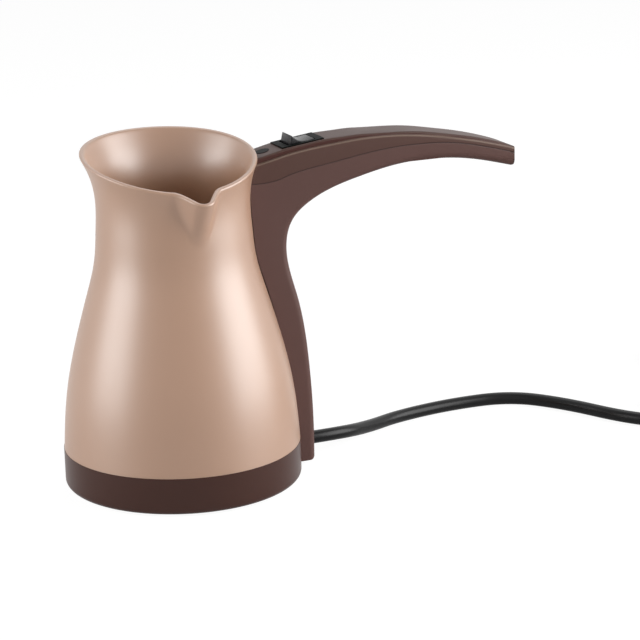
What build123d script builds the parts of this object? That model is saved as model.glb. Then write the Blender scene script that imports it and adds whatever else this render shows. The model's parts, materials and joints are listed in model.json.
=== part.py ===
from build123d import *
import math
import os

# Electric Turkish coffee pot, as an assembly of its separate pieces.
# Millimetres. The origin is the centre of the base on the table, +Z is up, the
# handle points along +X and the pouring spout along -Y.

# ---------------------------------------------------------------- driving sizes
FIT_GAP = 0.3  # between moulded pieces that sit beside each other
SHAFT_GAP = 0.05  # radial clearance round a pin or a screw
REACH = 5.0  # cutting shapes go on past the surface that they open by this
NEAR = 0.1  # tolerance when edges are picked by their height

# Pot: radius of the outer surface at the heights where its shape turns
BASE_RADIUS, FLARE_HEIGHT = 55.0, 158.5
BAND_TOP = 18.0
FOOT_RADIUS = BASE_RADIUS - 0.2
BELLY_RADIUS, BELLY_HEIGHT = BASE_RADIUS - 2.8, 45.0
HIP_RADIUS, HIP_HEIGHT = BASE_RADIUS - 9.7, FLARE_HEIGHT - 83.5
WAIST_RADIUS, WAIST_HEIGHT = BASE_RADIUS - 18.0, FLARE_HEIGHT - 53.5
THROAT_RADIUS, THROAT_HEIGHT = BASE_RADIUS - 19.3, FLARE_HEIGHT - 39.5
NECK_RADIUS, NECK_HEIGHT = BASE_RADIUS - 20.0, FLARE_HEIGHT - 25.5
LIP_RADIUS, LIP_HEIGHT = BASE_RADIUS - 17.6, FLARE_HEIGHT - 11.5
FLARE_RADIUS = BASE_RADIUS - 12.4
FLARE_RUN = 7.0  # the flare goes on past the rim by this height before it is cut
FLARE_SLOPE = 0.45  # radius gained per millimetre of height there
POT_WALL = 2.6

# Rim: its height, seen from the side, at the spout's tip, front, middle and back
SPOUT_REACH = NECK_RADIUS + 10.0
RIM_BACK_HEIGHT = FLARE_HEIGHT - 0.1
RIM_MID_HEIGHT = FLARE_HEIGHT - 6.4
RIM_FRONT_HEIGHT = FLARE_HEIGHT - 15.5
SPOUT_TIP_HEIGHT = FLARE_HEIGHT - 19.6
RIM_FRONT_FALL = 5.7  # the rim line drops this much more in front of the tip
RIM_BACK_RISE = 1.5
RIM_ROUNDING = 0.9

# Spout: a rounded V that grows out of the neck
SPOUT_FOOT = RIM_FRONT_HEIGHT - 20.0
SPOUT_NOSE_RADIUS = 4.5
SPOUT_HALF_WIDTH = 10.0
SPOUT_SIDE_ANGLE = 32.0
SPOUT_RISE = 0.55  # how far the nose moves out for each millimetre up
SPOUT_FOOT_SHARE = 0.65  # its half width at the foot, as a share of that at the rim

# Floor flange of the pot, which carries the heating plate
FLANGE_BORE = BASE_RADIUS - 14.0
FLANGE_TOP = 26.0
FLANGE_THICKNESS = 3.0
FLANGE_LOW = FLANGE_TOP - FLANGE_THICKNESS
SPIGOT_DEPTH = 4.0
SPIGOT_WALL = 2.4

# Base cup
BASE_WALL = 2.2
BASE_FLOOR = 2.4
FOOT_STAND = 0.8  # the rubber ring stands this far below the cup
BASE_EDGE = 2.5
BASE_INSIDE = FOOT_STAND + BASE_FLOOR
FOOT_RING_OUT = BASE_RADIUS - 12.5
FOOT_RING_IN = FOOT_RING_OUT - 4.0
FOOT_RING_HEIGHT = 2.4
FOOT_RING_CHAMFER = 0.4
FOOT_GROOVE_GAP = 0.1
FOOT_PAD_WIDTH, FOOT_PAD_TOP = 2.0, 4.6
WINDOW_HALF_WIDTH = 7.8
WINDOW_LOW, WINDOW_HIGH = 4.8, 14.0

# Screws
SCREW_RADIUS = 1.45
SCREW_HOLE = SCREW_RADIUS + SHAFT_GAP
SCREW_BOSS = 3.25
SCREW_HEAD_RADIUS = 2.8
SCREW_HEAD_HEIGHT = 1.8
SCREW_WELL = 3.0
SCREW_WELL_DEPTH = 2.4
SCREW_PAD = 4.5
SLOT_HALF_WIDTH, SLOT_HALF_LENGTH, SLOT_DEPTH = 0.45, 2.0, 0.9
SCREW_PLAY = 0.5  # a hole is this much deeper than its screw
BASE_SCREW_CIRCLE = BASE_RADIUS - 7.8
BASE_SCREW_COUNT = 3
BASE_SCREW_START = 60.0
BASE_BOSS_TOP = 9.2
BASE_SCREW_SEAT = FOOT_STAND + SCREW_WELL_DEPTH + 0.6
BASE_SCREW_END = 17.0

# Handle, seen from the side, as points (x, z)
HANDLE_WIDTH = 21.0
HANDLE_WALL = 2.2
HANDLE_ROOT = 30.0  # the outlines start this far from the axis, inside the pot
COLUMN_BOTTOM = 2.0
COLUMN_BACK = BASE_RADIUS + 8.0
COLUMN_HEEL = 3.0
HANDLE_ROUNDING = 3.5
LEDGE_ROUNDING = 0.9
BACK_POINTS = [
    (COLUMN_BACK, 22), (COLUMN_BACK - 1.5, 50), (COLUMN_BACK - 6.4, 82), (51.7, 107), (54.7, 118.3),
    (64.9, 127.1), (89.3, 135.5), (107.0, 139.0), (126.2, 140.0), (147.0, 137.8), (166.5, 133.0),
    (180, 129.6),
]
TIP_CENTRE, TIP_RADIUS = (167.0, 136.6), 3.85
LEDGE_POINTS = [
    (HANDLE_ROOT, 145.4), (43.5, 148), (55.3, 150.5), (64, 151.8), (76, 152.9), (94, 154.0), (106, 153.7),
    (119, 152.6), (131, 150.4), (144, 148), (156, 144.6), (163, 142.2), (169.2, 139.8), (180, 135.8),
]
STRIP_POINTS = [
    (HANDLE_ROOT, 147.6), (38, 149.3), (44, 150.5), (51, 152.1), (61.5, 153.5), (72, 154.85), (83, 155.3),
    (90, 155.5), (95, 155.3), (107, 154.8), (119, 153.9), (132, 151.7), (144, 149.2), (157, 145.1),
    (166.5, 141.0),
]
STRIP_WIDTH = 18.4
STRIP_ROUNDING = 1.0
PARTING_HEIGHT = 138.2
PARTING_POINTS = [
    (45.0, PARTING_HEIGHT), (55, 140.9), (64, 142.9), (76, 144.3), (88, 146.2), (100, 147.6),
    (118, 148.3), (125, 148.3), (137, 147), (143, 145.6), (156, 142.3), (162, 140.2), (176, 135.4),
]
CAVITY_END = 160.0
COLUMN_SCREW_HEIGHTS = (32.0, 95.0)
ARM_SCREW_PLACES = (92.0, 134.0)
ARM_SCREW_REACH = 9.0
ARM_SCREW_COVER = 1.8

# Rocker switch, in its own frame: x along the handle, z up out of it
SWITCH_PLACE = Location((61.5, 0, 153.5), (0, -7.3, 0))
BEZEL_LENGTH, BEZEL_WIDTH, BEZEL_HEIGHT = 21.0, 15.0, 1.6
BEZEL_ROUNDING = 0.5
SWITCH_LENGTH, SWITCH_WIDTH, SWITCH_DEPTH = 18.8, 12.8, 12.0
SWITCH_WALL = 1.2
SWITCH_CUT_GAP = 0.2
ROCKER_OPENING = (6.9, 5.2)
ROCKER_PEAK = (5.6, 2.7)
ROCKER_DISH, ROCKER_ROOF = 1.0, -0.6
ROCKER_SIDE = (6.2, -0.72)
ROCKER_FOOT = (5.0, -3.6)
ROCKER_HALF_WIDTH = 5.0
ROCKER_WALL = 1.1
ROCKER_PIVOT = -1.5
ROCKER_PIN = 0.95
ROCKER_PIN_COVER = 0.3  # wall left outside the pin holes
ROCKER_TILT = 12.0
PLUNGER_TUBE, PLUNGER_BORE, PLUNGER_RADIUS = 2.3, 1.5, 1.25
PLUNGER_TUBE_LOW, PLUNGER_BORE_TOP = -5.2, -0.9
PLUNGER_TIP, PLUNGER_TOP = -7.8, -4.2
SPRING_COIL, SPRING_WIRE, SPRING_PITCH = 1.15, 0.2, 0.75
LEVER_PIVOT = -8.4
LEVER_TILT = -8.0
LEVER_HALF = (5.6, 2.4, 0.4)
LEVER_PIN = 0.5
EAR_IN, EAR_OUT, EAR_TOP = 2.6, 3.15, -7.3
CONTACT_PLACE, CONTACT_RADIUS = 4.7, 1.2
CONTACT_STEP, STRIP_THICKNESS, STRIP_HALF = 0.5, 0.5, 1.4
BLADE_HALF = (0.4, 3.15)
BLADE_LOW = -16.8
FIXED_BLADE = 6.5
CONNECTOR_HALF = (1.5, 3.7)
CONNECTOR_LENGTH, BARREL_LENGTH, BARREL_RADIUS = 5.2, 1.2, 1.5
CONNECTOR_FLOOR, CONNECTOR_ROUNDING = 0.4, 1.0

# Pilot light
LAMP_PLACE = Location((44.0, 0, 150.5), (0, -12.0, 0))
LAMP_HOLE, LENS_RADIUS, LENS_FLANGE = 3.0, 2.9, 3.6
LAMP_HOLE_DEPTH = 8.0
LENS_RECESS, LENS_FLANGE_TOP, LENS_FLANGE_LOW = 0.6, -2.25, -3.2
NEON_RADIUS, NEON_LOW, SLEEVE_RADIUS, SLEEVE_LOW = 2.0, -12.0, 3.2, -13.0

# Heating plate and what is fixed under it
PLATE_RADIUS, PLATE_TOP = FLANGE_BORE + 6.0, 28.2
SEAL_TOP = 27.2
STUD_CIRCLE, STUD_RADIUS, STUD_LOW = FLANGE_BORE - 3.5, 2.0, 17.2
STUD_COUNT = 3
CLAMP_IN, CLAMP_OUT, CLAMP_LOW = FLANGE_BORE - 8.0, FLANGE_BORE + 2.2, 21.5
NUT_SIZE, NUT_HEIGHT = 7.0, 3.0
SPREADER_RADIUS, SPREADER_LOW = CLAMP_IN - 2.0, 24.2
ELEMENT_CIRCLE, ELEMENT_TUBE, ELEMENT_HEIGHT = SPREADER_RADIUS - 8.0, 3.2, 21.0
ELEMENT_GAP = 56.0  # degrees left open, towards -X
PIN_RADIUS, PIN_LENGTH = 1.2, 7.0
TAB_LOW = 14.6
SMALL_STUD, SMALL_STUD_PLACE, SMALL_STUD_LOW = 1.5, 14.0, 15.8
SMALL_NUT_SIZE, SMALL_NUT_HEIGHT = 5.5, 2.4
THERMOSTAT_CAP, THERMOSTAT_BODY, THERMOSTAT_LOW = 8.0, 7.2, 14.7
BRACKET_LOW, BRACKET_HIGH, BRACKET_HALF = 18.9, 19.7, (18.0, 4.5)
THERMOSTAT_BLADE, THERMOSTAT_BLADE_LOW = 4.6, 9.9
FUSE_RADIUS, FUSE_HALF, FUSE_Y, FUSE_Z = 2.2, 8.0, 14.0, 21.9
EARTH_ANGLE = 240.0
EARTH_BLADE_PLACE, EARTH_BLADE_LOW = CLAMP_IN + 1, 13.6

# Wires and cord
WIRE_RADIUS = 0.9
EARTH_RISE = 4.0
WIRE_BEND = 3.0
LIVE_POINTS = [
    (37.7, -1.6, 10.2), (33.0, -1.6, 10.2), (32.6, -13.0, 10.8), (46.8, -13.0, 10.4), (50.2, -7.2, 10.0),
    (54.6, -5.6, 10.4), (57.4, -5.6, 17), (57.4, -5.6, 28), (52.6, -5.6, 62), (43.4, -5.4, 102),
    (43.4, -5.0, 118), (50.0, -4.4, 128.6), (63.0, -3.4, 131.6), (70.65, 0, 133.2),
]
SWITCHED_POINTS = [
    (64.2, 0, 132.4), (53.0, 4.6, 127), (43.8, 5.4, 116), (43.4, 5.6, 102), (52.6, 5.6, 62), (57.4, 5.6, 28),
    (57.4, 5.6, 17), (54.6, 5.6, 10.2), (50.2, 7.2, 9.8), (46.8, 13.0, 9.4), (36, 16.5, 8.6), (24, 14, 5.4),
    (THERMOSTAT_BLADE, 0, 5.2),
]
NEUTRAL_POINTS = [
    (37.7, 1.6, 10.2), (33.0, 1.6, 10.2), (28.0, 10.0, 12.0), (19.0, 14.4, 14.0), (12.4, 14.2, 17.0),
    (11.6, 14.0, 21.9),
]
FUSE_POINTS = [(-11.6, 14.0, 21.9), (-12.4, 14.0, 17.0), (-17.0, 10.0, 9.2), (-23.12, 5.5, 9.4)]
LINK_POINTS = [(-THERMOSTAT_BLADE, 0, 5.2), (-14.0, -3.5, 5.2), (-23.12, -5.5, 8.6)]
EARTH_POINTS = [(37.7, 0, 7.9), (32.0, 0, 7.9), (10.0, -20.0, 7.2), (-6.0, -33.0, 7.6)]
CORD_RADIUS = 3.1
CORD_HEIGHT = 9.5
CORD_INNER_END = BASE_RADIUS - 17.0
GROMMET_NECK, GROMMET_OUT, GROMMET_IN = 4.5, 4.8, 5.2
GROMMET_FACE, GROMMET_BACK, GROMMET_DEEP = COLUMN_BACK + 0.9, COLUMN_BACK - 2.4, COLUMN_BACK - 3.5
CLAMP_BAR_X, CLAMP_BAR_Y = (BASE_RADIUS - 14.5, BASE_RADIUS - 7.5), 9.6
CLAMP_SADDLE_TOP, CLAMP_BAR_LOW, CLAMP_BAR_TOP = 9.3, 9.7, 14.0
CLAMP_SCREW_Y, CLAMP_SCREW_RADIUS, CLAMP_SCREW_LOW = 6.6, 1.25, 5.2
CLAMP_SCREW_HEAD, CLAMP_SCREW_HEAD_HEIGHT = 2.4, 1.6
CORD_POINTS = [
    (GROMMET_FACE, 0, CORD_HEIGHT), (80, 0, CORD_HEIGHT), (101, 15, 4.9), (124, 29, 3.1), (157, 34.4, 3.1),
    (188, 32, 3.1), (207, 9, 3.1), (222.5, -24, 3.1), (253.5, -54.9, 3.1),
]
COIL_CENTRE = (282.0, -31.0)
COIL_IN, COIL_OUT, COIL_TOP = 31.0, 37.2, 9.0
TIE_SPAN, TIE_THICKNESS, TIE_ANGLE = 9.0, 0.6, 135.0
TIE_NOTCH_GAP = 0.3  # degrees at each side of the strap
CORD_BEND = 34.0
CORD_SWEEP = 120.0  # the loose run's widest bend
TAIL_POINTS = [(316.1, -24.5, 9.7), (316.1, -2, 17.2)]

# Plug, along +Y beside the coil
PLUG_X, PLUG_AXIS = 316.1, 19.0
RELIEF_SECTIONS = [(-8.0, 15.2, 3.9), (1.0, 17.8, 4.8), (11.0, 18.8, 6.2), (23.0, 19.0, 7.5)]
PLUG_PROFILE = [(23, 0), (23, 9), (26, 13), (32, 16.5), (41, 19), (57.5, 19), (59, 17.5), (59, 0)]
PLUG_PIN_RADIUS, PLUG_PIN_APART, PLUG_PIN_END = 2.4, 19.0, 78.0
PLUG_PIN_ROOT = 52.0
PLUG_NOTCH_HALF, PLUG_NOTCH_FLOOR, PLUG_NOTCH_START = 3.4, 15.6, 45.0
EARTH_STRIP_HALF, EARTH_STRIP_THICKNESS = 2.2, 0.8


# ------------------------------------------------------------------- small tools
def cylinder(radius, low, high, x=0.0, y=0.0):
    """Upright cylinder between two heights."""
    return Pos(x, y, low) * Cylinder(radius, high - low, align=(Align.CENTER, Align.CENTER, Align.MIN))


def rod(radius, start, end):
    """Cylinder from one point to another."""
    start, end = Vector(*start), Vector(*end)
    place = Plane(origin=start, z_dir=end - start).location
    return place * Cylinder(radius, (end - start).length, align=(Align.CENTER, Align.CENTER, Align.MIN))


def block(x, y, z):
    """Box between pairs of coordinates."""
    low, high = Vector(x[0], y[0], z[0]), Vector(x[1], y[1], z[1])
    return Pos(*((low + high) / 2)) * Box(*(high - low))


def turned(corners):
    """Solid of revolution about Z of a closed polygon of (radius, height) corners."""
    outline = Wire.make_polygon([Vector(r, 0, z) for r, z in corners], close=True)
    return revolve(Face(outline), Axis.Z, 360)


def washer(inner, outer, low, high):
    """Flat ring between two heights."""
    return turned([(inner, low), (outer, low), (outer, high), (inner, high)])


def round_the_circle(count, start, piece):
    """Copies of a piece, evenly spaced about Z."""
    return [Rot(0, 0, start + 360 * i / count) * piece for i in range(count)]


def slab(edges, half_width):
    """Closed outline in the XZ plane, given thickness to both sides of it."""
    face = Face(Wire(edges))
    return extrude(face, half_width, dir=(0, 1, 0)) + extrude(face, half_width, dir=(0, -1, 0))


def beside(curve, distance, samples):
    """Smooth curve at a distance to the left of a curve in the XZ plane."""
    points = []
    for i in range(samples + 1):
        here, way = curve @ (i / samples), curve % (i / samples)
        points.append(here + Vector(-way.Z, 0, way.X) * distance)
    return Spline(*points)


def joined(a, b):
    """Straight line between two points."""
    return Line(tuple(a), tuple(b))


def xz(points):
    """Points of the XZ plane as points in space."""
    return [(x, 0, z) for x, z in points]


def pipe(radius, bend, *points):
    """Round rod along straight runs, its corners bent to a radius where the runs are long enough."""
    points = [Vector(*point) for point in points]
    radii = []
    for before, here, after in zip(points, points[1:], points[2:]):
        turn = math.radians((here - before).get_angle(after - here))
        room = 0.48 * min((here - before).length, (after - here).length)
        radii.append(min(bend, room / math.tan(turn / 2)))
    path = FilletPolyline(*points, radius=radii)
    return sweep(Plane(origin=path @ 0, z_dir=path % 0) * Circle(radius), path=path)


def hexagon(size, low, high):
    """Upright hexagonal prism, size across its flats."""
    return Pos(0, 0, low) * extrude(RegularPolygon(size / math.sqrt(3), 6), high - low)


def blade(low, high):
    """Flat connector blade, or the slot for one, between two heights."""
    return block((-BLADE_HALF[0], BLADE_HALF[0]), (-BLADE_HALF[1], BLADE_HALF[1]), (low, high))


def write(name, *solids):
    """Write one named piece, which may be several separate solids."""
    whole = solids[0] if len(solids) == 1 else Compound(children=list(solids))
    export_step(whole, "parts/" + name + ".step")


# --------------------------------------------------------------------- pot shape
def wall_points(grow):
    """Points of the pot's outer surface, moved out by grow."""
    top = FLARE_HEIGHT + FLARE_RUN
    points = [
        (FOOT_RADIUS, BAND_TOP),
        (FOOT_RADIUS - 0.7, (BAND_TOP * 2 + BELLY_HEIGHT) / 3 + 3),
        (BELLY_RADIUS, BELLY_HEIGHT),
        (HIP_RADIUS, HIP_HEIGHT),
        ((HIP_RADIUS + WAIST_RADIUS) / 2, (HIP_HEIGHT + WAIST_HEIGHT) / 2),
        (WAIST_RADIUS, WAIST_HEIGHT),
        (THROAT_RADIUS, THROAT_HEIGHT),
        (NECK_RADIUS, NECK_HEIGHT),
        (LIP_RADIUS, LIP_HEIGHT),
        (FLARE_RADIUS, FLARE_HEIGHT),
        (FLARE_RADIUS + FLARE_SLOPE * FLARE_RUN, top),
    ]
    return [(r + grow, 0, z) for r, z in points]


def pot_form(grow, low, high):
    """Solid inside the pot's outer surface moved out by grow, between two heights."""
    wall = Spline(*wall_points(grow))
    foot, head = wall @ 0, wall @ 1
    below = (foot.X, 0, 0)
    centre, middle = (0, 0, head.Z), (0, 0, 0)
    edges = [wall, joined(head, centre), joined(centre, middle), joined(middle, below), joined(below, foot)]
    return revolve(Face(Wire(edges)), Axis.Z, 360) & cylinder(2 * BASE_RADIUS, low, high)


def spout_section(height, inset):
    """Rounded V in a horizontal plane, pointing along -Y, with its sides moved in by inset."""
    lean = math.radians(SPOUT_SIDE_ANGLE)
    nose = SPOUT_NOSE_RADIUS - inset
    share = (height - SPOUT_FOOT) / (RIM_FRONT_HEIGHT - SPOUT_FOOT)
    out = SPOUT_REACH + SPOUT_RISE * (height - SPOUT_TIP_HEIGHT)
    centre = -out + SPOUT_NOSE_RADIUS
    width = SPOUT_FOOT_SHARE + (1 - SPOUT_FOOT_SHARE) * share
    half = SPOUT_HALF_WIDTH * width - inset / math.cos(lean)
    side = Vector(nose * math.cos(lean), centre - nose * math.sin(lean))
    root = side.Y + (half - side.X) / math.tan(lean)
    back = -NECK_RADIUS / 2
    edges = [
        ThreePointArc((-side.X, side.Y), (0, centre - nose), (side.X, side.Y)),
        Line((side.X, side.Y), (half, root)),
        Line((half, root), (half, back)),
        Line((half, back), (-half, back)),
        Line((-half, back), (-half, root)),
        Line((-half, root), (-side.X, side.Y)),
    ]
    return Pos(0, 0, height) * Face(Wire(edges))


def spout_form(inset):
    """The spout's outer shape, or with an inset its channel."""
    heights = (SPOUT_FOOT, FLARE_HEIGHT)
    return loft([spout_section(h, inset) for h in heights], ruled=True)


def above_rim():
    """Everything above the pot's slanted rim."""
    front, back, reach = -FOOT_RADIUS - REACH, FOOT_RADIUS + REACH, 2 * FLARE_HEIGHT
    rim = Spline(
        (0, front, SPOUT_TIP_HEIGHT - RIM_FRONT_FALL),
        (0, -SPOUT_REACH, SPOUT_TIP_HEIGHT),
        (0, -NECK_RADIUS, RIM_FRONT_HEIGHT),
        (0, 0, RIM_MID_HEIGHT),
        (0, FLARE_RADIUS, RIM_BACK_HEIGHT),
        (0, back, RIM_BACK_HEIGHT + RIM_BACK_RISE),
    )
    high_back, high_front = (0, back, reach), (0, front, reach)
    edges = [rim, joined(rim @ 1, high_back), joined(high_back, high_front), joined(high_front, rim @ 0)]
    face = Face(Wire(edges))
    return extrude(face, 2 * BASE_RADIUS, dir=(1, 0, 0)) + extrude(face, 2 * BASE_RADIUS, dir=(-1, 0, 0))


# --------------------------------------------------------------------------- pot
def crossing(curve, x=None, z=None):
    """The other coordinate where a curve of the XZ plane crosses a line of constant x or z."""
    far = 4 * FLARE_HEIGHT
    line = Line((0, 0, z), (far, 0, z)) if x is None else Line((x, 0, 0), (x, 0, far))
    point = (curve & line).vertices()[0]
    return point.X if x is None else point.Z


def pot_body():
    """Moulded pot with its rim, spout, floor flange, spigot and bosses."""
    top = FLARE_HEIGHT + FLARE_RUN
    outer = pot_form(0, BAND_TOP, top) + spout_form(0)
    inner = pot_form(-POT_WALL, FLANGE_TOP, top) + spout_form(POT_WALL)
    pot = outer - inner - above_rim()
    rim = [f for f in pot.faces() if f.center().Z > SPOUT_TIP_HEIGHT - 3 and f.normal_at().Z > 0.85]
    pot = fillet(ShapeList([e for f in rim for e in f.edges()]), RIM_ROUNDING)
    # under the flange the wall is hollow down to the spigot, which drops into the base cup
    spigot_outer = BASE_RADIUS - BASE_WALL - FIT_GAP
    spigot_inner = spigot_outer - SPIGOT_WALL
    pot -= cylinder(spigot_inner, 0, FLANGE_LOW)
    pot += washer(spigot_inner, spigot_outer, BAND_TOP - SPIGOT_DEPTH, BAND_TOP)
    pot -= cylinder(FLANGE_BORE, 0, FLANGE_TOP)
    boss = cylinder(SCREW_BOSS, BASE_BOSS_TOP, FLANGE_LOW, BASE_SCREW_CIRCLE)
    hole = cylinder(SCREW_HOLE, BASE_BOSS_TOP, FLANGE_LOW - 2, BASE_SCREW_CIRCLE)
    for solid in round_the_circle(BASE_SCREW_COUNT, BASE_SCREW_START, boss):
        pot += solid
    for solid in round_the_circle(BASE_SCREW_COUNT, BASE_SCREW_START, hole):
        pot -= solid
    wall = Spline(*wall_points(0))
    for height in COLUMN_SCREW_HEIGHTS:
        surface, seat = crossing(wall, z=height), column_seat(height)
        pot += rod(SCREW_BOSS, (surface - POT_WALL / 2, 0, height), (seat - HANDLE_WALL, 0, height))
        pot -= rod(SCREW_HOLE, (surface + SCREW_PLAY, 0, height), (seat, 0, height))
    return pot


# ------------------------------------------------------------------------ handle
def back_curve():
    """Back of the column and underside of the arm."""
    return Spline((COLUMN_BACK, 0, COLUMN_BOTTOM + COLUMN_HEEL), *xz(BACK_POINTS))


def column_seat(height):
    """Where the head of a column screw sits, as a distance from the axis."""
    return crossing(back_curve(), z=height) - SCREW_WELL_DEPTH


def handle_bar():
    """The handle as a solid bar, without the raised strip along its top."""
    back, ledge = back_curve(), Spline(*xz(LEDGE_POINTS))
    heel, root = (COLUMN_BACK, 0, COLUMN_BOTTOM), (HANDLE_ROOT, 0, COLUMN_BOTTOM)
    foot, rise = joined(root, heel), joined(heel, back @ 0)
    end, inner = joined(back @ 1, ledge @ 1), joined(ledge @ 0, root)
    bar = slab([foot, rise, back, end, ledge, inner], HANDLE_WIDTH / 2)
    sides = ShapeList([e for e in bar.edges() if abs(e.center().Y) > HANDLE_WIDTH / 2 - 0.01])
    longest = sides.sort_by(SortBy.LENGTH)
    bar = fillet(longest[-2:], HANDLE_ROUNDING)
    sides = ShapeList([e for e in bar.edges() if abs(e.center().Y) > HANDLE_WIDTH / 2 - 0.01])
    top = ShapeList([e for e in sides if e.center().Z > PARTING_HEIGHT and e.length > HANDLE_ROOT])
    bar = fillet(top, LEDGE_ROUNDING)
    across = HANDLE_WIDTH
    x, z, r = TIP_CENTRE[0], TIP_CENTRE[1], TIP_RADIUS
    end = block((x, x + HANDLE_WIDTH), (-across, across), (z - HANDLE_WIDTH, z + HANDLE_WIDTH))
    bar -= end - rod(r, (x, -across, z), (x, across, z))
    x, z, r = COLUMN_BACK - COLUMN_HEEL, COLUMN_BOTTOM + COLUMN_HEEL, COLUMN_HEEL
    end = block((x, x + REACH), (-across, across), (z - REACH, z))
    bar -= end - rod(r, (x, -across, z), (x, across, z))
    return bar


def strip_bar():
    """The narrower strip that stands proud along the top of the handle."""
    top = Spline(*xz(STRIP_POINTS))
    low = PARTING_HEIGHT + 2
    end, root = (STRIP_POINTS[-1][0], 0, low), (HANDLE_ROOT, 0, low)
    strip = slab([top, joined(top @ 1, end), joined(end, root), joined(root, top @ 0)], STRIP_WIDTH / 2)
    sides = ShapeList([e for e in strip.edges() if abs(e.center().Y) > STRIP_WIDTH / 2 - 0.01])
    longest = [e for e in sides.sort_by(SortBy.LENGTH)[-4:] if e.center().Z > low + 1]
    return fillet(ShapeList(longest), STRIP_ROUNDING)


def above_parting():
    """Everything above the line where the two handle shells meet."""
    parting, high = Spline(*xz(PARTING_POINTS)), 1.5 * FLARE_HEIGHT
    start, end = PARTING_POINTS[0], PARTING_POINTS[-1]
    corners = [(end[0], high), (HANDLE_ROOT - 1, high), (HANDLE_ROOT - 1, PARTING_HEIGHT), start]
    path = [Vector(x, 0, z) for x, z in [end] + corners]
    lines = [joined(path[i], path[i + 1]) for i in range(len(path) - 1)]
    return slab([parting] + lines, HANDLE_WIDTH)


def handle_hollow():
    """The space inside the handle."""
    half = HANDLE_WIDTH / 2 - HANDLE_WALL
    back = beside(back_curve(), HANDLE_WALL, 22)
    ledge = beside(Spline(*xz(LEDGE_POINTS)), -HANDLE_WALL, 12)
    low = COLUMN_BOTTOM + HANDLE_WALL
    root, heel = (HANDLE_ROOT - 1, 0, low), ((back @ 0).X, 0, low)
    foot, rise = joined(root, heel), joined(heel, back @ 0)
    hollow = slab([foot, rise, back, joined(back @ 1, ledge @ 1), ledge, joined(ledge @ 0, root)], half)
    # the strip is hollow too, down into the space under the ledge
    roof = beside(Spline(*xz(STRIP_POINTS)), -HANDLE_WALL, 12)
    floor = beside(Spline(*xz(LEDGE_POINTS)), -HANDLE_WALL - 1, 12)
    narrow = STRIP_WIDTH / 2 - HANDLE_WALL
    hollow += slab([roof, joined(roof @ 1, floor @ 1), floor, joined(floor @ 0, roof @ 0)], narrow)
    return hollow & block((0, CAVITY_END), (-HANDLE_WIDTH, HANDLE_WIDTH), (0, 2 * FLARE_HEIGHT))


def handle_shells():
    """Lower shell (column and underside of the arm) and upper shell (its top)."""
    outside = handle_bar() + strip_bar()
    whole = outside - handle_hollow()
    under, ledge, strip = back_curve(), Spline(*xz(LEDGE_POINTS)), Spline(*xz(STRIP_POINTS))
    holes = []
    for height in COLUMN_SCREW_HEIGHTS:
        seat = column_seat(height)
        pad = rod(SCREW_PAD, (seat - HANDLE_WALL, 0, height), (seat + SCREW_WELL_DEPTH + 3, 0, height))
        whole += pad & outside
        holes.append(rod(SCREW_WELL, (seat, 0, height), (COLUMN_BACK + REACH, 0, height)))
        holes.append(rod(SCREW_HOLE, (seat - 2 * HANDLE_WALL, 0, height), (seat, 0, height)))
    for place in ARM_SCREW_PLACES:
        low, high = crossing(under_arm(), x=place), crossing(strip, x=place)
        seat = low + SCREW_WELL_DEPTH
        whole += cylinder(SCREW_PAD, low - 3, seat + HANDLE_WALL, place) & outside
        whole += cylinder(SCREW_BOSS, seat, high, place) & outside
        holes.append(cylinder(SCREW_WELL, low - REACH, seat, place))
        holes.append(cylinder(SCREW_HOLE, seat, min(seat + ARM_SCREW_REACH, high - ARM_SCREW_COVER), place))
    for hole in holes:
        whole -= hole
    whole -= pot_form(FIT_GAP, 0, FLARE_HEIGHT + FLARE_RUN)
    whole -= cylinder(BASE_RADIUS + FIT_GAP, 0, BAND_TOP + FIT_GAP)
    half = (SWITCH_LENGTH / 2 + SWITCH_CUT_GAP, SWITCH_WIDTH / 2 + SWITCH_CUT_GAP)
    whole -= SWITCH_PLACE * block((-half[0], half[0]), (-half[1], half[1]), (-REACH, REACH))
    half = (BEZEL_LENGTH / 2, BEZEL_WIDTH / 2)
    whole -= SWITCH_PLACE * block((-half[0], half[0]), (-half[1], half[1]), (0, REACH))
    whole -= LAMP_PLACE * cylinder(LAMP_HOLE, -LAMP_HOLE_DEPTH, REACH)
    whole -= rod(GROMMET_NECK, (GROMMET_DEEP, 0, CORD_HEIGHT), (COLUMN_BACK + REACH, 0, CORD_HEIGHT))
    whole -= rod(GROMMET_OUT, (COLUMN_BACK, 0, CORD_HEIGHT), (COLUMN_BACK + REACH, 0, CORD_HEIGHT))
    upper_part = above_parting()
    return whole - upper_part, whole & upper_part


def under_arm():
    """The part of the back curve that is the arm's underside."""
    points = [p for p in BACK_POINTS if p[1] > 123]
    return Spline(*xz(points))


def screw(radius, head_radius, head_height, length):
    """Pan-head screw along +Z from the top of its shank, with its head below the origin."""
    head = cylinder(head_radius, -head_height, 0)
    across, along = (-SLOT_HALF_WIDTH, SLOT_HALF_WIDTH), (-SLOT_HALF_LENGTH, SLOT_HALF_LENGTH)
    slot = block(across, along, (-head_height, -head_height + SLOT_DEPTH))
    return head - slot - Rot(0, 0, 90) * slot + cylinder(radius, 0, length)


def column_screws():
    """The two screws that hold the column to the pot."""
    screws = []
    for height in COLUMN_SCREW_HEIGHTS:
        seat = column_seat(height)
        place = Plane(origin=(seat, 0, height), z_dir=(-1, 0, 0)).location
        length = seat - crossing(Spline(*wall_points(0)), z=height) - 2 * SCREW_PLAY
        screws.append(place * screw(SCREW_RADIUS, SCREW_HEAD_RADIUS, SCREW_HEAD_HEIGHT, length))
    return screws


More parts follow.
